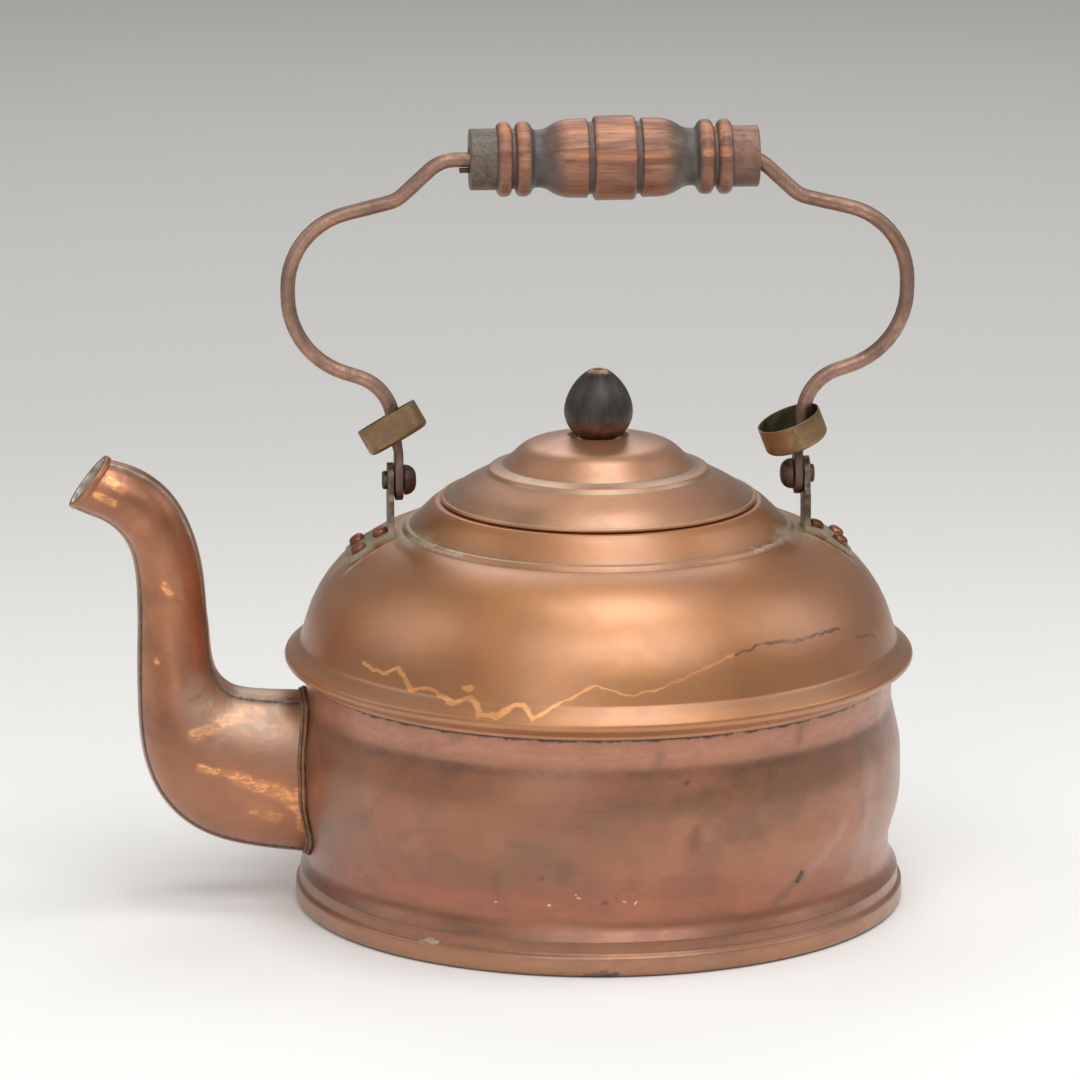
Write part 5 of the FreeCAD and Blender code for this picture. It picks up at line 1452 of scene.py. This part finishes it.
@dataclass
class Lid:
    """The lift-off lid with its flange, knob and fixing."""

    sheet: float = 0.9
    rim: float = 57.4
    rim_round: float = 0.8
    rim_height: float = 151.15
    slope: float = 0.696
    flange_sheet: float = 0.8
    floor: float = 171.9
    top: float = 198.7
    knob_middle: float = 183.2
    knob_radius: float = 12.65

    def shell(self) -> tuple[Corner, ...]:
        """Outside corners of the lid."""
        bend = 50.5
        bend_height = self.rim_height + (self.rim - bend) * self.slope
        return ((self.rim, self.rim_height, 0), (bend, bend_height, 40.0),
                (41.2, 160.8, 0.7), (40.1, 162.3, 1.15), (37.6, 162.8, 0.7), (35.2, 163.5, 2.4),
                (27.4, 171.0, 14.0), (10.9, 174.7, 1.2), (9.6, self.floor, 0.7), (1.75, self.floor, 0))

    def egg(self) -> np.ndarray:
        """Closed outline of the knob: bore, stem, egg and the dimpled tip."""
        lower, upper = self.knob_middle - self.floor + 0.5, self.top - self.knob_middle + 1.1
        below = np.linspace(self.floor + 0.7, self.knob_middle, 20)[:-1]
        above = np.linspace(self.knob_middle, self.top - 0.15, 34)
        share = (above - self.knob_middle) / upper
        radius = np.r_[np.sqrt(1 - ((self.knob_middle - below) / lower) ** 2), (1 - share**1.8) ** 0.66]
        skin = np.c_[self.knob_radius * radius, np.r_[below, above]]
        stem = [(1.75, self.floor), (skin[0, 0] - 0.3, self.floor), (skin[0, 0], self.floor + 0.3)]
        tip = [(skin[-1, 0] - 0.5, self.top), (1.9, self.top), (1.5, self.top - 0.3), (1.1, self.top - 0.9),
               (0.0, self.top - 1.0), (0.0, 187.9), (1.75, 187.9)]
        return np.vstack([stem, skin, tip])

    def build(self, effects: Effects) -> None:
        """Make the lid and dress its fixing."""
        copper = CopperFinish(
            "lid_copper", shade(202, 143, 99), shade(172, 117, 78), shade(164, 106, 70), shade(158, 146, 118),
            (0.38, 0.45), shade(148, 104, 72), stained=0.3, patchy=0.2,
            creases=((161.0, 1.0, 0.8), (163.2, 0.9, 0.8), (153.4, 1.6, 0.35)), rings=((11.2, 2.6, 0.6),),
            scale=1.4).material(effects)
        ring = np.linspace(0, 2 * math.pi, 16, endpoint=False)
        rim = np.c_[self.rim + self.rim_round * np.cos(ring), self.rim_height + self.rim_round * np.sin(ring)]
        shape = Shape.joined([spun(self.shell(), self.sheet, dents(0.05, 5)), turned(rim, True)])
        finished("lid_spun", shape, Body.LID, copper, ["lid_shell"])
        edge = 53.6
        corner = (self.rim_height + (self.rim - edge) * self.slope
                  - self.sheet * math.sqrt(1 + self.slope**2) - 0.15)
        flange = ((edge, 144.0, 0), (edge, corner, 1.1), (edge - 3.2, corner + 3.2 * self.slope, 0))
        finished("lid_ring", spun(flange, self.flange_sheet), Body.LID, copper, ["lid_flange"])
        ebony = EbonyFinish("knob_ebony", self.floor, self.top).material(effects)
        finished("knob_egg", turned(self.egg(), True, segments=128), Body.LID, ebony,
                 ["lid_knob"])
        steel = PlainMetal("fixing_steel", shade(150, 146, 138), shade(100, 94, 86), shade(92, 70, 52),
                           (0.4, 0.6), 0.4).material(effects)
        for node in ("knob_screw", "knob_washer"):
            dressed(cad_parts[node].data, steel)


# ---- studio ----


@dataclass(frozen=True)
class Panel:
    """A soft square light: where it stands and looks, its side in metres, and its watts."""

    name: str
    place: tuple[float, float, float]
    aim: tuple[float, float, float]
    size: float
    power: float

    def build(self) -> None:
        """Put the light into the scene."""
        data = bpy.data.lights.new(self.name, "AREA")
        data.shape, data.size, data.energy = "SQUARE", self.size, self.power
        lamp = linked(self.name, data)
        lamp.location = self.place
        lamp.rotation_mode = "QUATERNION"
        lamp.rotation_quaternion = (Vector(self.aim) - Vector(self.place)).to_track_quat("-Z", "Y")


@dataclass
class Studio:
    """Pale floor, soft light and the camera, in metres; the lens and its sensor are millimetres."""

    lens: float = 226.93
    sensor: float = 36.0
    distance: float = 2.442
    height: float = 0.6993
    pitch: float = math.radians(13.0236)
    azimuth: float = math.radians(-4.5)
    shift: float = -58.5 / 1080
    clip: tuple[float, float] = (0.1, 50.0)
    floor_reach: float = 6.0
    room: Colour = (0.80, 0.80, 0.80, 1.0)
    room_strength: float = 0.31
    panels: tuple[Panel, ...] = (
        Panel("key_right", (0.55, -1.4, 1.9), (0.0, 0.0, 0.12), 1.2, 15.0),
        Panel("key_left", (-0.45, -1.5, 1.9), (0.0, 0.0, 0.12), 1.2, 9.0),
        Panel("left", (-2.0, 0.2, 1.5), (0.0, 0.0, 0.12), 1.5, 8.0),
        Panel("right", (1.9, 0.1, 1.5), (0.0, 0.0, 0.12), 1.3, 8.5),
        Panel("top", (0.2, -0.1, 2.2), (0.1, 0.0, 0.0), 0.8, 12.0),
        Panel("front", (-0.75, -1.9, 0.75), (0.0, 0.0, 0.06), 0.9, 4.5),
        Panel("back", (0.0, 1.75, 1.7), (0.0, 0.0, 0.15), 1.2, 8.0))

    def floor(self, effects: Effects) -> None:
        """A plain pale floor with painted shade that darkens it away from the scene's camera."""
        reach = self.floor_reach
        corners = [(-reach, -reach, 0.0), (reach, -reach, 0.0), (reach, reach, 0.0), (-reach, reach, 0.0)]
        mesh = bpy.data.meshes.new("floor")
        mesh.from_pydata(corners, [], [(0, 1, 2, 3)])
        paper = PaperFinish("floor_paper", shade(250, 250, 248), shade(218, 216, 212))
        dressed(mesh, paper.material(effects))
        floor = linked("floor", mesh)

    def camera(self) -> None:
        """The camera of the photograph's view."""
        data = bpy.data.cameras.new("camera")
        data.lens, data.sensor_width, data.shift_x = self.lens, self.sensor, self.shift
        data.clip_start, data.clip_end = self.clip
        eye = linked("camera", data)
        eye.location = (self.distance * math.sin(self.azimuth), -self.distance * math.cos(self.azimuth),
                        self.height)
        eye.rotation_euler = (math.pi / 2 - self.pitch, 0.0, self.azimuth)
        bpy.context.scene.camera = eye

    def build(self, effects: Effects) -> None:
        """Set floor, lights and camera."""
        self.floor(effects)
        for panel in self.panels:
            panel.build()
        world = bpy.data.worlds.new("room")
        world.use_nodes = True
        back = next(n for n in world.node_tree.nodes if n.type == "BACKGROUND")
        Graph(world.node_tree).feed(back, {"Color": self.room, "Strength": self.room_strength})
        bpy.context.scene.world = world
        bpy.context.scene.view_settings.view_transform = "Standard"
        self.camera()


def main() -> None:
    """Build every sub-assembly in order."""
    logging.basicConfig(level=logging.INFO, format="%(name)s: %(message)s")
    effects, beads, rivets = Effects(), BeadTree(), RivetTree()
    body = KettleBody()
    body.build(effects)
    Spout(body).build(effects, beads)
    Hinges(body).build(effects, rivets)
    Bail().build(effects)
    Grip().build(effects)
    Lid().build(effects)
    Studio().build(effects)


if __name__ == "__main__":
    main()
